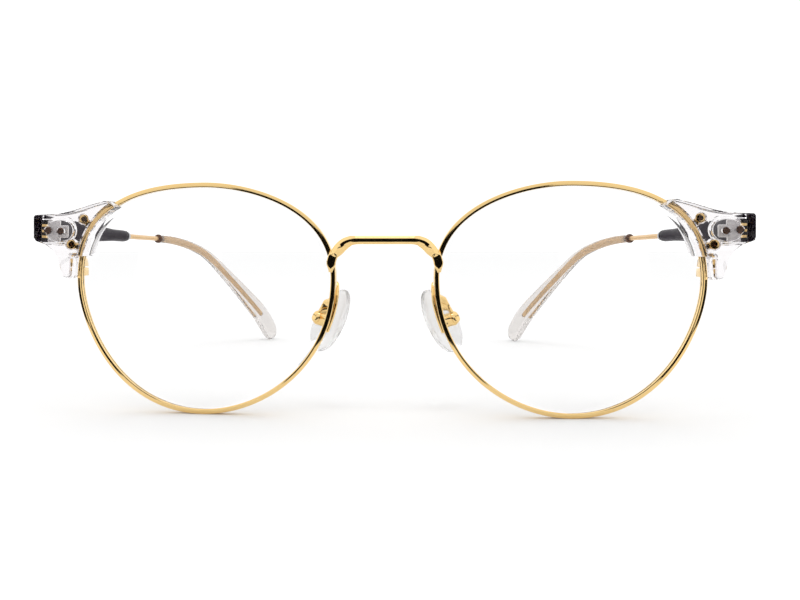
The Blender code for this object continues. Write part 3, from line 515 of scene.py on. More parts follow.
def turned(start, end, profile, segments=32):
    """A body of revolution: profile holds (distance from start, radius) pairs."""
    start, end = Vector(start), Vector(end)
    across, aside = axes_along(start, end)
    along = (end - start).normalized()
    rings = []
    for distance, radius in profile:
        ring = []
        for i in range(segments):
            a = 2 * math.pi * i / segments
            spoke = across * math.cos(a) + aside * math.sin(a)
            ring.append(start + along * distance + spoke * radius)
        rings.append(ring)
    return loft(rings)


def rod(start, end, radius, segments=24, edge=0.0):
    """A straight cylinder, with its two edges rounded off by edge."""
    length = (Vector(end) - Vector(start)).length
    if not edge:
        return turned(start, end, [(0, radius), (length, radius)], segments)
    arc = [math.radians(a) for a in (90, 60, 30, 0)]
    low = [(edge - edge * math.sin(a), radius - edge + edge * math.cos(a)) for a in arc]
    high = [(length - d, r) for d, r in reversed(low)]
    return turned(start, end, low + high, segments)


def heading(line, i):
    """The unit direction of a line of points at its i-th point."""
    return (line[min(i + 1, len(line) - 1)] - line[max(i - 1, 0)]).normalized()


def tube(points, radius, segments=20, caps=3):
    """A wire along points with rounded ends."""
    points = [Vector(p) for p in points]
    start, end = points[0], points[-1]
    ahead = (points[1] - start).normalized()
    behind = (end - points[-2]).normalized()
    angles = [math.pi / 2 * i / (caps + 0.5) for i in range(1, caps + 1)]
    stations = [
        (start + ahead * (radius * (1 - math.sin(a))), radius * math.cos(a))
        for a in reversed(angles)
    ]
    stations.append((start + ahead * radius, radius))
    stations += [(point, radius) for point in points[1:-1]]
    stations.append((end - behind * radius, radius))
    stations += [
        (end - behind * (radius * (1 - math.sin(a))), radius * math.cos(a)) for a in angles
    ]
    line = [place for place, _ in stations]
    rings, normal = [], axes_along(start, points[1])[0]
    for i, (place, r) in enumerate(stations):
        along = heading(line, i)
        normal = (normal - along * normal.dot(along)).normalized()
        other = along.cross(normal)
        ring = []
        for k in range(segments):
            a = 2 * math.pi * k / segments
            ring.append(place + (normal * math.cos(a) + other * math.sin(a)) * r)
        rings.append(ring)
    return loft(rings)


def smooth_line(points, spacing, steps=16):
    """Evenly spaced points on a smooth curve through points (Catmull-Rom)."""
    points = [Vector(p) for p in points]
    ends = [2 * points[0] - points[1], *points, 2 * points[-1] - points[-2]]
    fine = []
    for a, b, c, d in zip(ends, ends[1:], ends[2:], ends[3:]):
        for step in range(steps):
            t = step / steps
            fine.append(0.5 * (
                2 * b + (c - a) * t + (2 * a - 5 * b + 4 * c - d) * t ** 2
                + (3 * b - a - 3 * c + d) * t ** 3
            ))
    fine.append(points[-1])
    lengths = [0.0]
    for a, b in zip(fine, fine[1:]):
        lengths.append(lengths[-1] + (b - a).length)
    count = max(2, round(lengths[-1] / spacing))
    line, i = [], 0
    for step in range(count + 1):
        target = lengths[-1] * step / count
        while i < len(fine) - 2 and lengths[i + 1] < target:
            i += 1
        part = (target - lengths[i]) / (lengths[i + 1] - lengths[i])
        line.append(fine[i].lerp(fine[i + 1], min(part, 1.0)))
    return line


def superellipse(half_x, half_z, squareness, count):
    """Points of a ring: squareness 2 is an ellipse, and more fills its corners."""
    ring = []
    for i in range(count):
        angle = 2 * math.pi * (i + 0.5) / count
        c, s = math.cos(angle), math.sin(angle)
        ring.append((
            half_x * math.copysign(abs(c) ** (2 / squareness), c),
            half_z * math.copysign(abs(s) ** (2 / squareness), s),
        ))
    return ring


def between(table, station):
    """Values of a table of rows (station, value...) at a station; the last row holds past it."""
    station = min(station, table[-1][0])
    for one, two in zip(table, table[1:]):
        if one[0] <= station <= two[0]:
            part = (station - one[0]) / (two[0] - one[0])
            return [a + (b - a) * part for a, b in zip(one[1:], two[1:])]
    raise ValueError("the table starts after this station")


# ---- rims and lenses

LINE_WIDTH, LINE_HEIGHT = RIM_WIDTH - WIRE_WIDTH, RIM_HEIGHT - WIRE_WIDTH
LENS_FRAME = (
    Matrix.Translation((
        RIM_INNER_X + WIRE_WIDTH / 2 + LINE_WIDTH / 2 * math.cos(math.radians(WRAP)),
        LENS_CENTRE_Y, RIM_HEIGHT / 2,
    ))
    @ Matrix.Rotation(math.radians(WRAP), 4, "Z") @ Matrix.Rotation(math.pi / 2, 4, "X")
)


def bezier(p0, p1, p2, p3, t):
    s = 1 - t
    return p0 * s ** 3 + p1 * (3 * s * s * t) + p2 * (3 * s * t * t) + p3 * t ** 3


def rim_outline():
    """The wire's middle line in the plane of the lens, outer side first, in four quarters."""
    top, bottom = Vector((TOP_U, LINE_HEIGHT)), Vector((BOTTOM_U, 0))
    outer, nose = Vector((LINE_WIDTH, OUTER_V)), Vector((0, NOSE_V))
    right, up = Vector((1, 0)), Vector((0, 1))
    quarters = [
        (outer, outer - up * OUTER_HANDLES[1], bottom + right * BOTTOM_HANDLES[0], bottom),
        (bottom, bottom - right * BOTTOM_HANDLES[1], nose - up * NOSE_HANDLES[0], nose),
        (nose, nose + up * NOSE_HANDLES[1], top - right * TOP_HANDLES[0], top),
        (top, top + right * TOP_HANDLES[1], outer + up * OUTER_HANDLES[0], outer),
    ]
    centre = Vector((LINE_WIDTH / 2, LINE_HEIGHT / 2))
    return [
        bezier(*quarter, step / RIM_STEPS) - centre
        for quarter in quarters for step in range(RIM_STEPS)
    ]


def moved_in(outline, distance):
    """The outline, moved towards the lens by a distance."""
    moved = []
    for i, point in enumerate(outline):
        along = outline[(i + 1) % len(outline)] - outline[i - 1]
        moved.append(point + Vector((along.y, -along.x)).normalized() * distance)
    return moved


def on_base_curve(point, depth=0.0):
    """A point of the lens plane, laid on the lens's sphere and moved back by depth."""
    u, v = point
    return Vector((u, v, math.sqrt(BASE_RADIUS ** 2 - u * u - v * v) - BASE_RADIUS - depth))


def in_front_view(point):
    spot = LENS_FRAME @ on_base_curve(point)
    return Vector((spot.x, spot.z))


def rim_place(height, side, outline):
    """Where the outline's outer or nose side crosses a height."""
    points = [LENS_FRAME @ on_base_curve(p) for p in outline]
    middle = LENS_FRAME.translation.x
    for a, b in zip(points, points[1:] + points[:1]):
        outside = a.x > middle
        if outside == (side == "outer") and (a.z - height) * (b.z - height) <= 0 and a.z != b.z:
            return a.lerp(b, (height - a.z) / (b.z - a.z))
    raise ValueError("the rim does not reach this height")


def swept_rim(line, profile):
    """A profile, (towards the lens, back) pairs, swept along a line in the lens's frame."""
    rings, back = [], Vector((0, 0, -1))
    for i, point in enumerate(line):
        inward = back.cross(heading(line, i)).normalized()
        rings.append([LENS_FRAME @ (point + inward * x + back * y) for x, y in profile])
    return loft(rings)


def split_line():
    """The rim's middle line, from one side of the saw cut round to the other."""
    outline = rim_outline()
    points = [on_base_curve(p) for p in outline]
    spots = [LENS_FRAME @ p for p in points]
    below, above = SPLIT_HEIGHT - SAW_CUT / 2, SPLIT_HEIGHT + SAW_CUT / 2
    start = next(i for i, p in enumerate(spots) if p.z < below and p.x > OUTER_HALF_X)
    lower = LENS_FRAME.inverted() @ rim_place(below, "outer", outline)
    upper = LENS_FRAME.inverted() @ rim_place(above, "outer", outline)
    inner = [
        points[i] for i in (*range(start, len(points)), *range(start))
        if not (spots[i].x > OUTER_HALF_X and abs(spots[i].z - SPLIT_HEIGHT) < 0.4)
    ]
    return [lower, *inner, upper]


def corner(cx, cy, radius, start, stop, steps=4):
    """Points of a rounded corner: x towards the lens, y back."""
    return [
        (cx + radius * math.cos(math.radians(start + (stop - start) * i / steps)),
         cy + radius * math.sin(math.radians(start + (stop - start) * i / steps)))
        for i in range(steps + 1)
    ]


def eyewire_profile():
    """Section of the grooved eyewire: crowned outside, crisp lens side, V groove for the lens."""
    w, d = WIRE_WIDTH / 2, WIRE_DEPTH / 2
    front_outer = corner(-w + 0.17, -d + 0.17 + EYEWIRE_FALL, 0.17, 180, 260)
    crown = [(-w + 0.55, -d), (w - 0.17, -d)]
    front_inner = corner(w - 0.06, -d + 0.09, 0.06, 285, 360, 2)
    half_groove = [
        (w - GROOVE_DEPTH, 0.08), (w - GROOVE_LIP, GROOVE_HALF), (w, GROOVE_HALF + 0.04),
    ]
    groove = [(x, -y) for x, y in reversed(half_groove)] + half_groove
    back_inner = corner(w - 0.09, d - 0.09, 0.09, 0, 90, 2)
    back_outer = corner(-w + 0.2, d - 0.2, 0.2, 90, 180, 3)
    return front_outer + crown + front_inner + groove + back_inner + back_outer


def make_lens():
    """A meniscus whose bevelled edge is seated in the eyewire's groove."""
    outline, w = rim_outline(), WIRE_WIDTH / 2
    face = moved_in(outline, w + LENS_FACE_IN)
    seat = moved_in(outline, w + LENS_SEAT_IN)
    apex = moved_in(outline, w + LENS_APEX_IN)
    front = [([p * share for p in face], LENS_HALF) for share in LENS_SHARES]
    front += [(face, LENS_HALF), (seat, LENS_HALF - LENS_CHAMFER), (seat, GROOVE_HALF)]
    back = [(points, depth) for points, depth in reversed(front)]
    rows = [(points, -depth) for points, depth in front] + [(apex, 0.0)] + back
    return loft([[LENS_FRAME @ on_base_curve(p, depth) for p in points] for points, depth in rows])


# ---- bridge

def eased(value, start, stop):
    """0 before start and 1 after stop, smoothly between them."""
    part = max(0.0, min(1.0, (value - start) / (stop - start)))
    return part * part * (3 - 2 * part)


def bridge_line():
    """From the left foot over the bar to the right foot."""
    half = smooth_line([BRIDGE_FOOT] + [(x, BRIDGE_Y, z) for x, z in BRIDGE_LINE], 0.2)
    line = half + [Vector((x, BRIDGE_Y, half[-1].z)) for x in (*BRIDGE_BAR_X, 0.0)]
    return line + [Vector((-p.x, p.y, p.z)) for p in reversed(line[:-1])]


def make_bridge(segments=48):
    """One bent rod: round along the bar, ridged round its corners, each foot pressed flat.

    Five shares, each 0 to 1, say how much of a form each section has: ridge (pinched to an edge
    in front), fade (of the ridge), leaf (pressed flat), web (broadened inside the corner) and
    full (not yet thinned to the foot).
    """
    line = bridge_line()
    rings = []
    for i, point in enumerate(line):
        side = Vector((0, 1, 0)).cross(heading(line, i)).normalized()
        if side.z > 0:
            side = -side
        ridge = eased(abs(point.x), *RIDGE_X)
        fade = eased(abs(point.x), *RIDGE_FADE_X)
        leaf = eased(point.z, *LEAF_START_Z) * (1 - eased(point.z, *LEAF_STOP_Z))
        web = eased(abs(point.x), *WEB_X) * eased(point.z, *WEB_Z)
        full = eased(point.z, *FOOT_Z)
        wide = BRIDGE_RADIUS * (1 + 0.12 * leaf) * (0.38 + 0.62 * full)
        deep = BRIDGE_RADIUS * (0.45 + 0.55 * full)
        power = 2 / (2 - ridge * (1 - leaf))
        limit = deep * (0.93 - 0.35 * leaf + (0.28 * fade - 0.21) * ridge * (1 - leaf))
        ring = []
        for k in range(segments):
            a = 2 * math.pi * k / segments
            c, d = math.cos(a), math.sin(a)
            back = deep * math.copysign(abs(d) ** power, d)
            aside = wide * math.copysign(abs(c) ** power, c)
            if aside > 0:
                aside *= 1 + 0.7 * web * (1 - leaf)
            ring.append(point + side * aside + Vector((0, max(back, -limit), 0)))
        rings.append(ring)
    return loft(rings)


# ---- end piece and its metal

def face_frame():
    """The end piece's sloped front face: x along it, y up, z back through the acetate."""
    slope = math.radians(FACE_SLOPE)
    turn = Matrix.Rotation(slope, 4, "Z") @ Matrix(
        ((1, 0, 0, 0), (0, 0, 1, 0), (0, 1, 0, 0), (0, 0, 0, 1))
    )
    return Matrix.Translation((*FACE_START, 0)) @ turn


def front_face_y(x):
    return FACE_START[1] + (x - FACE_START[0]) * math.tan(math.radians(FACE_SLOPE))


def end_piece_outline():
    """Round the end piece from its top inner corner: out, down, in, and up the rim with a lip."""
    outer_edge = moved_in(rim_outline(), -WIRE_WIDTH / 2 - GAP)
    foot = rim_place(END_FOOT_Z, "outer", outer_edge)
    step = rim_place(LIP_BOTTOM, "outer", outer_edge)
    lip = [in_front_view(p) for p in moved_in(rim_outline(), WIRE_WIDTH / 2 + LIP)]
    lip = [p for p in lip if p.x > OUTER_HALF_X and LIP_BOTTOM - 0.2 < p.y < LIP_TOP]
    lip.sort(key=lambda p: p.y)
    pointed = [Vector((x, z, 0)) for x, z in END_OUTLINE]
    top, outer, inner = pointed[:5], pointed[5:7], pointed[13:]
    line = [*smooth_line(top, 0.9), *outer, *smooth_line(pointed[7:13], 0.6), *inner]
    line = [Vector((p.x, p.y)) for p in line]
    return line + [Vector((foot.x, foot.z)), Vector((step.x, step.z))] + lip


def rim_room(room):
    """The channel milled for the eyewire and the lens from behind, under the lip."""
    line = [on_base_curve(p) for p in rim_outline()]
    outside, front = -WIRE_WIDTH / 2 - room, -WIRE_DEPTH / 2 - room
    inside, back = WIRE_WIDTH / 2 + 2 * LIP, 2 * END_THICKNESS
    section = [(outside, front), (inside, front), (inside, back), (outside, back)]
    return swept_rim(line[-RIM_STEPS:] + line[:9], section)


def hinge_bowl():
    """The recess milled from behind for the hinge plate, with rounded steps round its far side."""
    rings = []
    for depth, share in BOWL_STEPS:
        y = MITRE_Y - BOWL_DEPTH * (1 - depth)
        ring = superellipse(*(half * share for half in BOWL_HALF), BOWL_SQUARENESS, 64)
        rings.append([Vector((BOWL_X + dx, y, BOWL_Z + dz)) for dx, dz in ring])
    return loft(rings)


def lug_frame(centre, direction):
    """A lug's place: x along its shank to the rim, y back."""
    dx, dz = Vector(direction).normalized()
    turn = Matrix(((dx, 0, -dz, 0), (0, 1, 0, 0), (dz, 0, dx, 0), (0, 0, 0, 1)))
    return Matrix.Translation((centre[0], LUG_FRONT_Y, centre[1])) @ turn


def lug_reach(centre, direction):
    """How far it is from the lug's centre to the rim's outside, along the shank."""
    edge = [in_front_view(p) for p in moved_in(rim_outline(), -WIRE_WIDTH / 2)]
    start, along = Vector(centre), Vector(direction).normalized()
    best = None
    for point in edge:
        offset = point - start
        aside = abs(offset.x * along.y - offset.y * along.x)
        if 0 < offset.dot(along) < 5 and (best is None or aside < best[0]):
            best = (aside, offset.dot(along))
    return best[1]


def lug_shape(centre, direction, room=0.0):
    """The ring and its shank, or with room the pocket that they lie in."""
    turn, reach = lug_frame(centre, direction), lug_reach(centre, direction)
    ring = rod(
        turn @ Vector((0, -room, 0)), turn @ Vector((0, LUG_LENGTH + room, 0)), LUG_RADIUS + room,
        40, edge=0.0 if room else LUG_EDGE,
    )
    half, middle, deep = SHANK_WIDTH / 2 + room, LUG_LENGTH / 2, SHANK_DEPTH / 2
    shank = box(
        (0.2, middle - deep - room, -half), (reach + room, middle + deep + room, half), turn,
    )
    return fuse(ring, shank if room else bevelled(shank, LUG_EDGE))


def make_lug(centre, direction):
    """The ring that a lug screw goes through, with its shank soldered to the rim."""
    turn = lug_frame(centre, direction)
    bore = rod(turn @ Vector((0, -1, 0)), turn @ Vector((0, LUG_LENGTH + 1, 0)), LUG_BORE, 32)
    return cut(lug_shape(centre, direction), bore)


def slotted_head(neck, along, radius, thickness):
    """A low domed screw head with a driver slot."""
    profile = [(0, radius * 0.96), (0.05, radius), (thickness * 0.6, radius),
               (thickness * 0.9, radius * 0.88), (thickness, radius * 0.6)]
    head = turned(neck, neck + along, profile, 32)
    across, aside = axes_along(neck, neck + along)
    turn = Matrix((across, aside, along)).transposed().to_4x4()
    turn.translation = neck
    groove = box(
        (-radius * 1.2, -DRIVER_SLOT_WIDTH / 2, thickness - DRIVER_SLOT_DEPTH),
        (radius * 1.2, DRIVER_SLOT_WIDTH / 2, thickness + 1), turn,
    )
    return cut(head, groove)


def screw(start, neck, radius, head_radius, thickness=0.5):
    """A shank from start to neck, with a head of that thickness beyond the neck."""
    along = (neck - start).normalized()
    shank = rod(start, neck + along * thickness / 2, radius, 24, edge=radius * 0.2)
    return fuse(shank, slotted_head(neck, along, head_radius, thickness))


def block_front():
    """The y of the closing blocks' front, just behind the eyewire."""
    return rim_place(SPLIT_HEIGHT, "outer", rim_outline()).y + WIRE_DEPTH / 2 + 0.2


def closing_block(low, high):
    """A rounded block on one end of the split eyewire, bored for the closing screw."""
    y0 = block_front()
    body = bevelled(box((BLOCK_X[0], y0, low), (BLOCK_X[1], y0 + BLOCK_DEPTH, high)), 0.18, 3)
    y = y0 + BLOCK_DEPTH / 2
    barrel = rod((CLOSING_SCREW_X, y, low), (CLOSING_SCREW_X, y, high), 0.95, 32, edge=0.1)
    hole = rod((CLOSING_SCREW_X, y, low - 1), (CLOSING_SCREW_X, y, high + 1), 0.6, 24)
    return cut(fuse(body, barrel), hole)


def make_closing_screw():
    y = block_front() + BLOCK_DEPTH / 2
    low, high = SPLIT_HEIGHT - BLOCK_HEIGHT, SPLIT_HEIGHT + BLOCK_HEIGHT + GAP
    return screw(Vector((CLOSING_SCREW_X, y, low)), Vector((CLOSING_SCREW_X, y, high)), 0.45, 0.8)


def make_end_piece():
    """Clear acetate with polished edges and pockets milled for the metal inside it."""
    slope = math.cos(math.radians(FACE_SLOPE))
    outline = [((p.x - FACE_START[0]) / slope, p.y) for p in end_piece_outline()]
    bm = bmesh.new()
    face = bm.faces.new([bm.verts.new((x, y, 0)) for x, y in outline])
    grown = bmesh.ops.extrude_face_region(bm, geom=[face])
    far = [item for item in grown["geom"] if isinstance(item, bmesh.types.BMVert)]
    bmesh.ops.translate(bm, verts=far, vec=(0, 0, END_THICKNESS))
    for vert in bm.verts:
        along = FACE_START[0] + vert.co.x * slope
        if vert in far and along > DRAFT_X and (vert.co.y < DRAFT_Z or along > SIDE_X):
            vert.co.x += OUTER_DRAFT[1]
        if along > SIDE_X:
            vert.co.x -= OUTER_DRAFT[0]
    bm.transform(face_frame())
    body = bevelled(from_bmesh(bm), 0.2, 3, angle=50)
    cutters = [rim_room(0.18), box((MITRE_X, MITRE_Y, LOW_Z), (FAR_X, FAR_Y, HIGH_Z))]
    for centre, direction in LUGS.values():
        cutters.append(lug_shape(centre, direction, room=0.2))
        x, z = centre
        top = LUG_FRONT_Y + LUG_LENGTH
        cutters.append(rod((x, top - 0.5, z), (x, BEHIND, z), LUG_HEAD_RADIUS + 0.17, 32))
    low = (BLOCK_X[0] - 3, block_front() - GAP, LOW_Z)
    high = (BLOCK_X[1] + GAP, BEHIND, SPLIT_HEIGHT + BLOCK_HEIGHT + 1.1)
    cutters.append(bevelled(box(low, high), 0.5, 3))
    room = 0.25
    cutters.append(hinge_bowl())
    floor = MITRE_Y - PLATE_THICKNESS - room
    low = (PLATE_X[0] - room, floor, PLATE_Z[0] - room)
    high = (BUTT_LIP_X, BEHIND, PLATE_Z[1] + room)
    cutters.append(bevelled(box(low, high), 0.3, 3))
    cutters.append(box((BUTT_LIP_X - 0.4, floor, LOW_Z), (FAR_X, FAR_Y, HIGH_Z)))
    for x, z in RIVETS.values():
        cutters.append(rod((x, rivet_front(x) - 0.1, z), (x, MITRE_Y, z), RIVET_RADIUS + 0.1, 32))
    return cut(body, *cutters)


def rivet_front(x):
    """How deep a rivet's head lies in the acetate."""
    return front_face_y(x) + RIVET_DEPTH


def make_rivet(spot):
    x, z = spot
    front, back = rivet_front(x), MITRE_Y - PLATE_THICKNESS - 0.05
    profile = [(0, RIVET_RADIUS * 0.8), (0.08, RIVET_RADIUS * 0.96), (0.2, RIVET_RADIUS),
               (0.5, RIVET_RADIUS), (0.52, RIVET_RADIUS * 0.7), (back - front, RIVET_RADIUS * 0.7)]
    return turned((x, front, z), (x, front + 1, z), profile, 36)


# ---- hinge

def knuckle(slot, web_low, web_high):
    """One of the hinge's barrels, counted from below, with a web to its leaf."""
    low = BARREL_BOTTOM + slot * KNUCKLE_PITCH + KNUCKLE_GAP / 2
    high = low + KNUCKLE_PITCH - KNUCKLE_GAP
    barrel = rod((AXIS_X, AXIS_Y, low), (AXIS_X, AXIS_Y, high), BARREL_RADIUS, 40, edge=0.08)
    web = box((*web_low, low), (*web_high, high))
    bore = rod((AXIS_X, AXIS_Y, low - 1), (AXIS_X, AXIS_Y, high + 1), BARREL_BORE, 24)
    return cut(fuse(barrel, web), bore)


def make_front_plate():
    """The leaf let into the end piece: a square with a narrower tongue to the inner rivet."""
    low, high = MITRE_Y - PLATE_THICKNESS, MITRE_Y
    square = box((SQUARE_X[0], low, PLATE_Z[0]), (SQUARE_X[1], high, PLATE_Z[1]))
    tongue = box((PLATE_X[0], low + 0.15, TONGUE_Z[0]), (TONGUE_END_X, high - 0.1, TONGUE_Z[1]))
    return fuse(bevelled(square, 0.3, 3), bevelled(tongue, 0.3, 3))


def make_front_knuckles():
    """Three ribs that stand behind the end piece's flat back and curl round the hinge screw."""
    webs = ((AXIS_X - 0.65, MITRE_Y - PLATE_THICKNESS + 0.1), (AXIS_X + 0.3, AXIS_Y))
    return fuse(*[knuckle(slot, *webs) for slot in (0, 2, 4)])


def make_rear_leaf():
    """Two knuckles on a tail that runs back into the sleeve."""
    start = AXIS_Y + BARREL_RADIUS + 0.35
    tail = bevelled(box((TAIL_X[0], start, TAIL_Z[0]), (TAIL_X[1], TAIL_END, TAIL_Z[1])), 0.15)
    webs = ((AXIS_X + 0.35, AXIS_Y), (AXIS_X + BARREL_RADIUS * 0.98, AXIS_Y + BARREL_RADIUS + 0.7))
    return fuse(tail, *[knuckle(slot, *webs) for slot in (1, 3)])


def make_hinge_screw():
    top = BARREL_BOTTOM + KNUCKLES * KNUCKLE_PITCH + KNUCKLE_GAP
    return screw(Vector((AXIS_X, AXIS_Y, BARREL_BOTTOM)), Vector((AXIS_X, AXIS_Y, top)), 0.4, 0.8)


# ---- temple

def temple_path(spacing):
    """The middle of the temple from the sleeve's front to the end of the tip."""
    return smooth_line(TEMPLE_LINE, spacing)


def core_line():
    """The gold wire's middle line, which stops inside the tip."""
    return [p for p in temple_path(1.0) if p.z > CORE_END_HEIGHT]


def make_sleeve():
    """Polished black sleeve: deep and flat at the hinge, round where the wire leaves it."""
    stations = list(SLEEVE_BUTT)
    while stations[-1] < MOUTH_ROUND_Y:
        stations.append(stations[-1] + SLEEVE_STEP)
    rings = []
    for y in (*stations, *SLEEVE_MOUTH):
        x, z, half_x, half_z, squareness = between(SLEEVE_SECTIONS, y)
        inset = 0.0
        if y < SLEEVE_BUTT[-1]:
            inset = 0.28 * (1 - math.sqrt(max(0.0, 1 - (1 - (y - SLEEVE_BUTT[0]) / 0.6) ** 2)))
        if y > MOUTH_ROUND_Y:
            inset = 0.45 * (1 - math.sqrt(max(0.0, 1 - (y - MOUTH_ROUND_Y) ** 2)))
        ring = superellipse(half_x - inset, half_z - inset, squareness, 40)
        rings.append([Vector((x + dx, y, z + dz)) for dx, dz in ring])
    low, high = BARREL_BOTTOM - 0.2, BARREL_BOTTOM + KNUCKLES * KNUCKLE_PITCH + 0.75
    mouth = box((NEAR_X, 0, low), (BUTT_LIP_X, AXIS_Y, high))
    pocket = box(
        (NEAR_X, AXIS_Y - BARREL_RADIUS - 0.1, low),
        (AXIS_X + BARREL_RADIUS + 0.12, AXIS_Y + BARREL_RADIUS + GAP, high),
    )
    front, (side, back), (bottom, top) = MITRE_Y - PLATE_THICKNESS + 0.1, BUTT_LIP_END, BUTT_LIP_Z
    lip = bevelled(box((BUTT_LIP_X + 0.05, front, bottom), (side, back, top)), 0.3, 3)
    return cut(fuse(loft(rings), lip), mouth, pocket)


def ring_on_wire(start, end, radius):
    path = temple_path(0.25)
    a = min(path, key=lambda p: abs(p.y - start))
    b = min(path, key=lambda p: abs(p.y - end))
    along = (b - a).normalized()
    middle = (a + b) / 2
    half = along * (end - start) / 2
    return rod(middle - half, middle + half, radius, 36, edge=0.22)


def make_tip():
    """Clear tip: round at its mouth, broad and flat towards its rounded end."""
    path = [p for p in temple_path(0.25) if p.y > TIP_START_Y]
    rings = []
    for station in [i / 60 for i in range(57)] + TIP_END_STATIONS:
        index = min(round(station * (len(path) - 1)), len(path) - 2)
        spot = path[index + 1] if station == 1.0 else path[index]
        along = heading(path, index)
        aside = along.cross(Vector((0, 0, 1))).normalized()
        upward = aside.cross(along).normalized()
        half_b, half_t = tip_size(station)
        ring = superellipse(half_t, half_b, 2.2, 28)
        rings.append([spot + aside * a + upward * b for a, b in ring])
    return loft(rings)


def tip_size(station):
    """Half the breadth and thickness, eased in at the mouth and rounded off at the end."""
    broad, thick = between(TIP_SECTIONS, station)
    mouth, end, end_length = 0.02, 0.945, 0.055
    if station < mouth:
        ease = 1 - 0.25 * (1 - station / mouth) ** 2
        return broad * ease, thick * ease
    if station > end:
        ease = math.sqrt(max(0.02, 1 - ((station - end) / end_length) ** 2))
        return broad * ease, thick * (0.35 + 0.65 * ease)
    return broad, thick


# ---- nose pads

def pad_frame():
    """A nose pad's place: x down along it, y across, z away from the nose to its box."""
    splay = math.radians(PAD_SPLAY)
    across = Vector((math.sin(splay), math.cos(splay), 0))
    across = (across - PAD_LONG * across.dot(PAD_LONG)).normalized()
    away = PAD_LONG.cross(across)
    return Matrix.Translation(PAD_CENTRE) @ Matrix((PAD_LONG, across, away)).transposed().to_4x4()


def make_pad():
    """A soft teardrop: rounder below, domed on the nose side, a boss behind for the screw."""
    bm = bmesh.new()
    bmesh.ops.create_uvsphere(bm, u_segments=48, v_segments=28, radius=0.5)
    bm.transform(Matrix.Rotation(math.pi / 2, 4, "Y"))
    length, width, thickness = PAD_SIZE
    for vert in bm.verts:
        x, y, z = vert.co
        taper = 1 + 0.3 * x
        flat = math.copysign(abs(2 * z) ** 0.8, z) / 2
        boss = 0.0
        if z > 0:
            boss = 0.35 * math.exp(-((x * length / 3.0) ** 2 + (y * width / 2.0) ** 2))
        vert.co = (x * length, y * width * taper, flat * thickness * (0.86 + boss * 0.4))
    bm.transform(pad_frame())
    return from_bmesh(bm)


def across_pivot(half, radius, segments):
    """A rod on the axis that a nose pad rocks about."""
    turn = pad_frame()
    ends = (turn @ Vector((0, side * half, PIVOT_OFFSET)) for side in (-1, 1))
    return rod(*ends, radius, segments)


def make_pad_insert():
    """The metal plate inside the pad, with a tongue and an eye for the pad screw."""
    turn = pad_frame()
    (long, wide), (narrow, thin) = INSERT_HALF, INSERT_TONGUE_HALF
    plate = bevelled(box((-long, -wide, 0.3), (long, wide, 0.75), turn), 0.15, 2)
    tongue = bevelled(box((-narrow, -thin, 0.5), (narrow, thin, PIVOT_OFFSET), turn), 0.1, 2)
    eye = across_pivot(thin, EYE_RADIUS, 28)
    return cut(fuse(plate, tongue, eye), across_pivot(2, 0.42, 20))


def make_pad_box():
    """A small rounded box, almost a ball, with cheeks that hold the screw."""
    turn = pad_frame()
    length, width, depth = BOX_SIZE
    low = PIVOT_OFFSET - 0.95
    body = box((-length / 2, -width / 2, low), (length / 2, width / 2, low + depth), turn)
    slot = box((-1.0, -SLOT_WIDTH / 2, 0), (1.0, SLOT_WIDTH / 2, PIVOT_OFFSET + 0.8), turn)
    return cut(bevelled(body, 1.0, 8), slot, across_pivot(2, 0.45, 20))


def make_pad_screw():
    """The small screw through the box's cheeks and the insert's eye."""
    turn, half = pad_frame(), BOX_SIZE[1] / 2
    start = turn @ Vector((0, -half, PIVOT_OFFSET))
    neck = turn @ Vector((0, half - 0.3, PIVOT_OFFSET))
    return screw(start, neck, 0.3, 0.42, thickness=0.28)


def make_pad_arm():
    """A wire from behind the rim, up and back in a loop to the pad's box."""
    outline = rim_outline()
    foot = []
    for height, aside in ARM_FEET:
        spot = rim_place(height, "nose", outline)
        foot.append((spot.x - aside, spot.y + WIRE_DEPTH / 2 + GAP + ARM_RADIUS, height))
    end = pad_frame() @ Vector((-BOX_SIZE[0] / 2 + 0.35, 0, PIVOT_OFFSET + 0.7))
    return tube(smooth_line([*foot, *ARM_LOOP, end], 0.3), ARM_RADIUS, 20)


# ---- assembly

make_camera()
make_studio()
MATERIALS = make_materials()

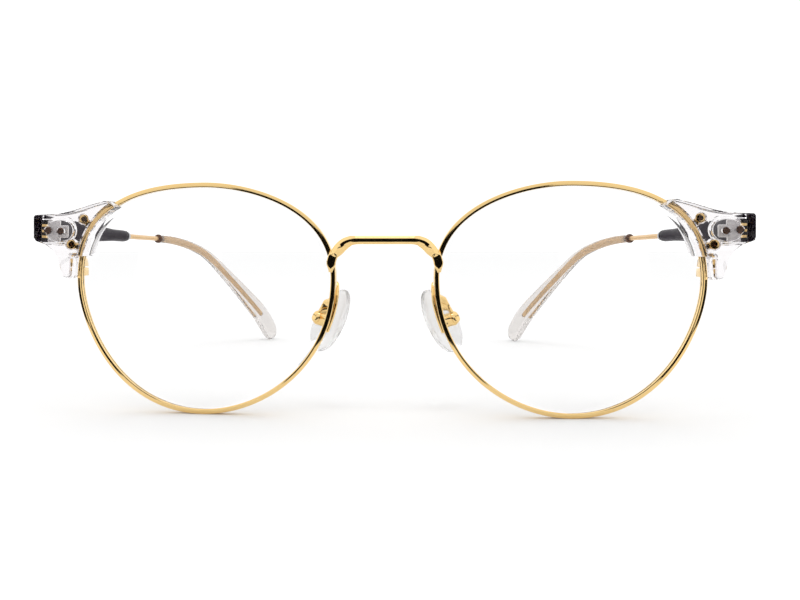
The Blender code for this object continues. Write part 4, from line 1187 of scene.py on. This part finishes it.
add("bridge_look", make_bridge(), "gold", "front", ["bridge"], 24)
add_pair("rim", swept_rim(split_line(), eyewire_profile()), "gold", sharp=8)
add_pair("lens", make_lens(), "lens", sharp=25)
low, high, slit = SPLIT_HEIGHT - BLOCK_HEIGHT, SPLIT_HEIGHT + BLOCK_HEIGHT, SAW_CUT / 2
add_pair("closing_block_lower", closing_block(low, SPLIT_HEIGHT - slit), "gold")
add_pair("closing_block_upper", closing_block(SPLIT_HEIGHT + slit, high), "gold")
add_pair("closing_screw", make_closing_screw(), "gold")
for lug, (centre, direction) in LUGS.items():
    add_pair(f"rim_lug_{lug}", make_lug(centre, direction), "gold")
    x, z = centre
    start = Vector((x, LUG_FRONT_Y + LUG_LENGTH / 4, z))
    neck = Vector((x, LUG_FRONT_Y + LUG_LENGTH + GAP / 2, z))
    add_pair(f"lug_screw_{lug}", screw(start, neck, LUG_SCREW_RADIUS, LUG_HEAD_RADIUS), "dark")
add_pair("end_piece", make_end_piece(), "clear", sharp=14)
add_pair("hinge_front_leaf", make_front_plate(), "steel")
add_pair("hinge_front_leaf", make_front_knuckles(), "gold", detail="hinge_front_knuckles")
for rivet, spot in RIVETS.items():
    add_pair(f"hinge_rivet_{rivet}", make_rivet(spot), "dark")
add_pair("hinge_screw", make_hinge_screw(), "gold")
add_pair("hinge_rear_leaf", make_rear_leaf(), "gold", "temple")
add_pair("temple_sleeve", make_sleeve(), "black", "temple", sharp=40)
add_pair("temple_ferrule", ring_on_wire(*FERRULE), "grey", "temple")
add_pair("temple_core", tube(core_line(), CORE_RADIUS, 20), "wire", "temple")
# The tip collar's dark brown is painted shade: a dark ring put where the clear tip's mouth darkens
# by refraction.
add_pair("tip_collar", ring_on_wire(*SHADE_RING), "dark", "temple")
add_pair("temple_tip", make_tip(), "tip", "temple", sharp=50)
add_pair("pad_arm", make_pad_arm(), "gold")
add_pair("pad_box", make_pad_box(), "gold", sharp=40)
add_pair("pad_screw", make_pad_screw(), "gold")
add_pair("pad_insert", make_pad_insert(), "steel", "pad")
for pad in add_pair("nose_pad", make_pad(), "silicone", "pad", sharp=60):
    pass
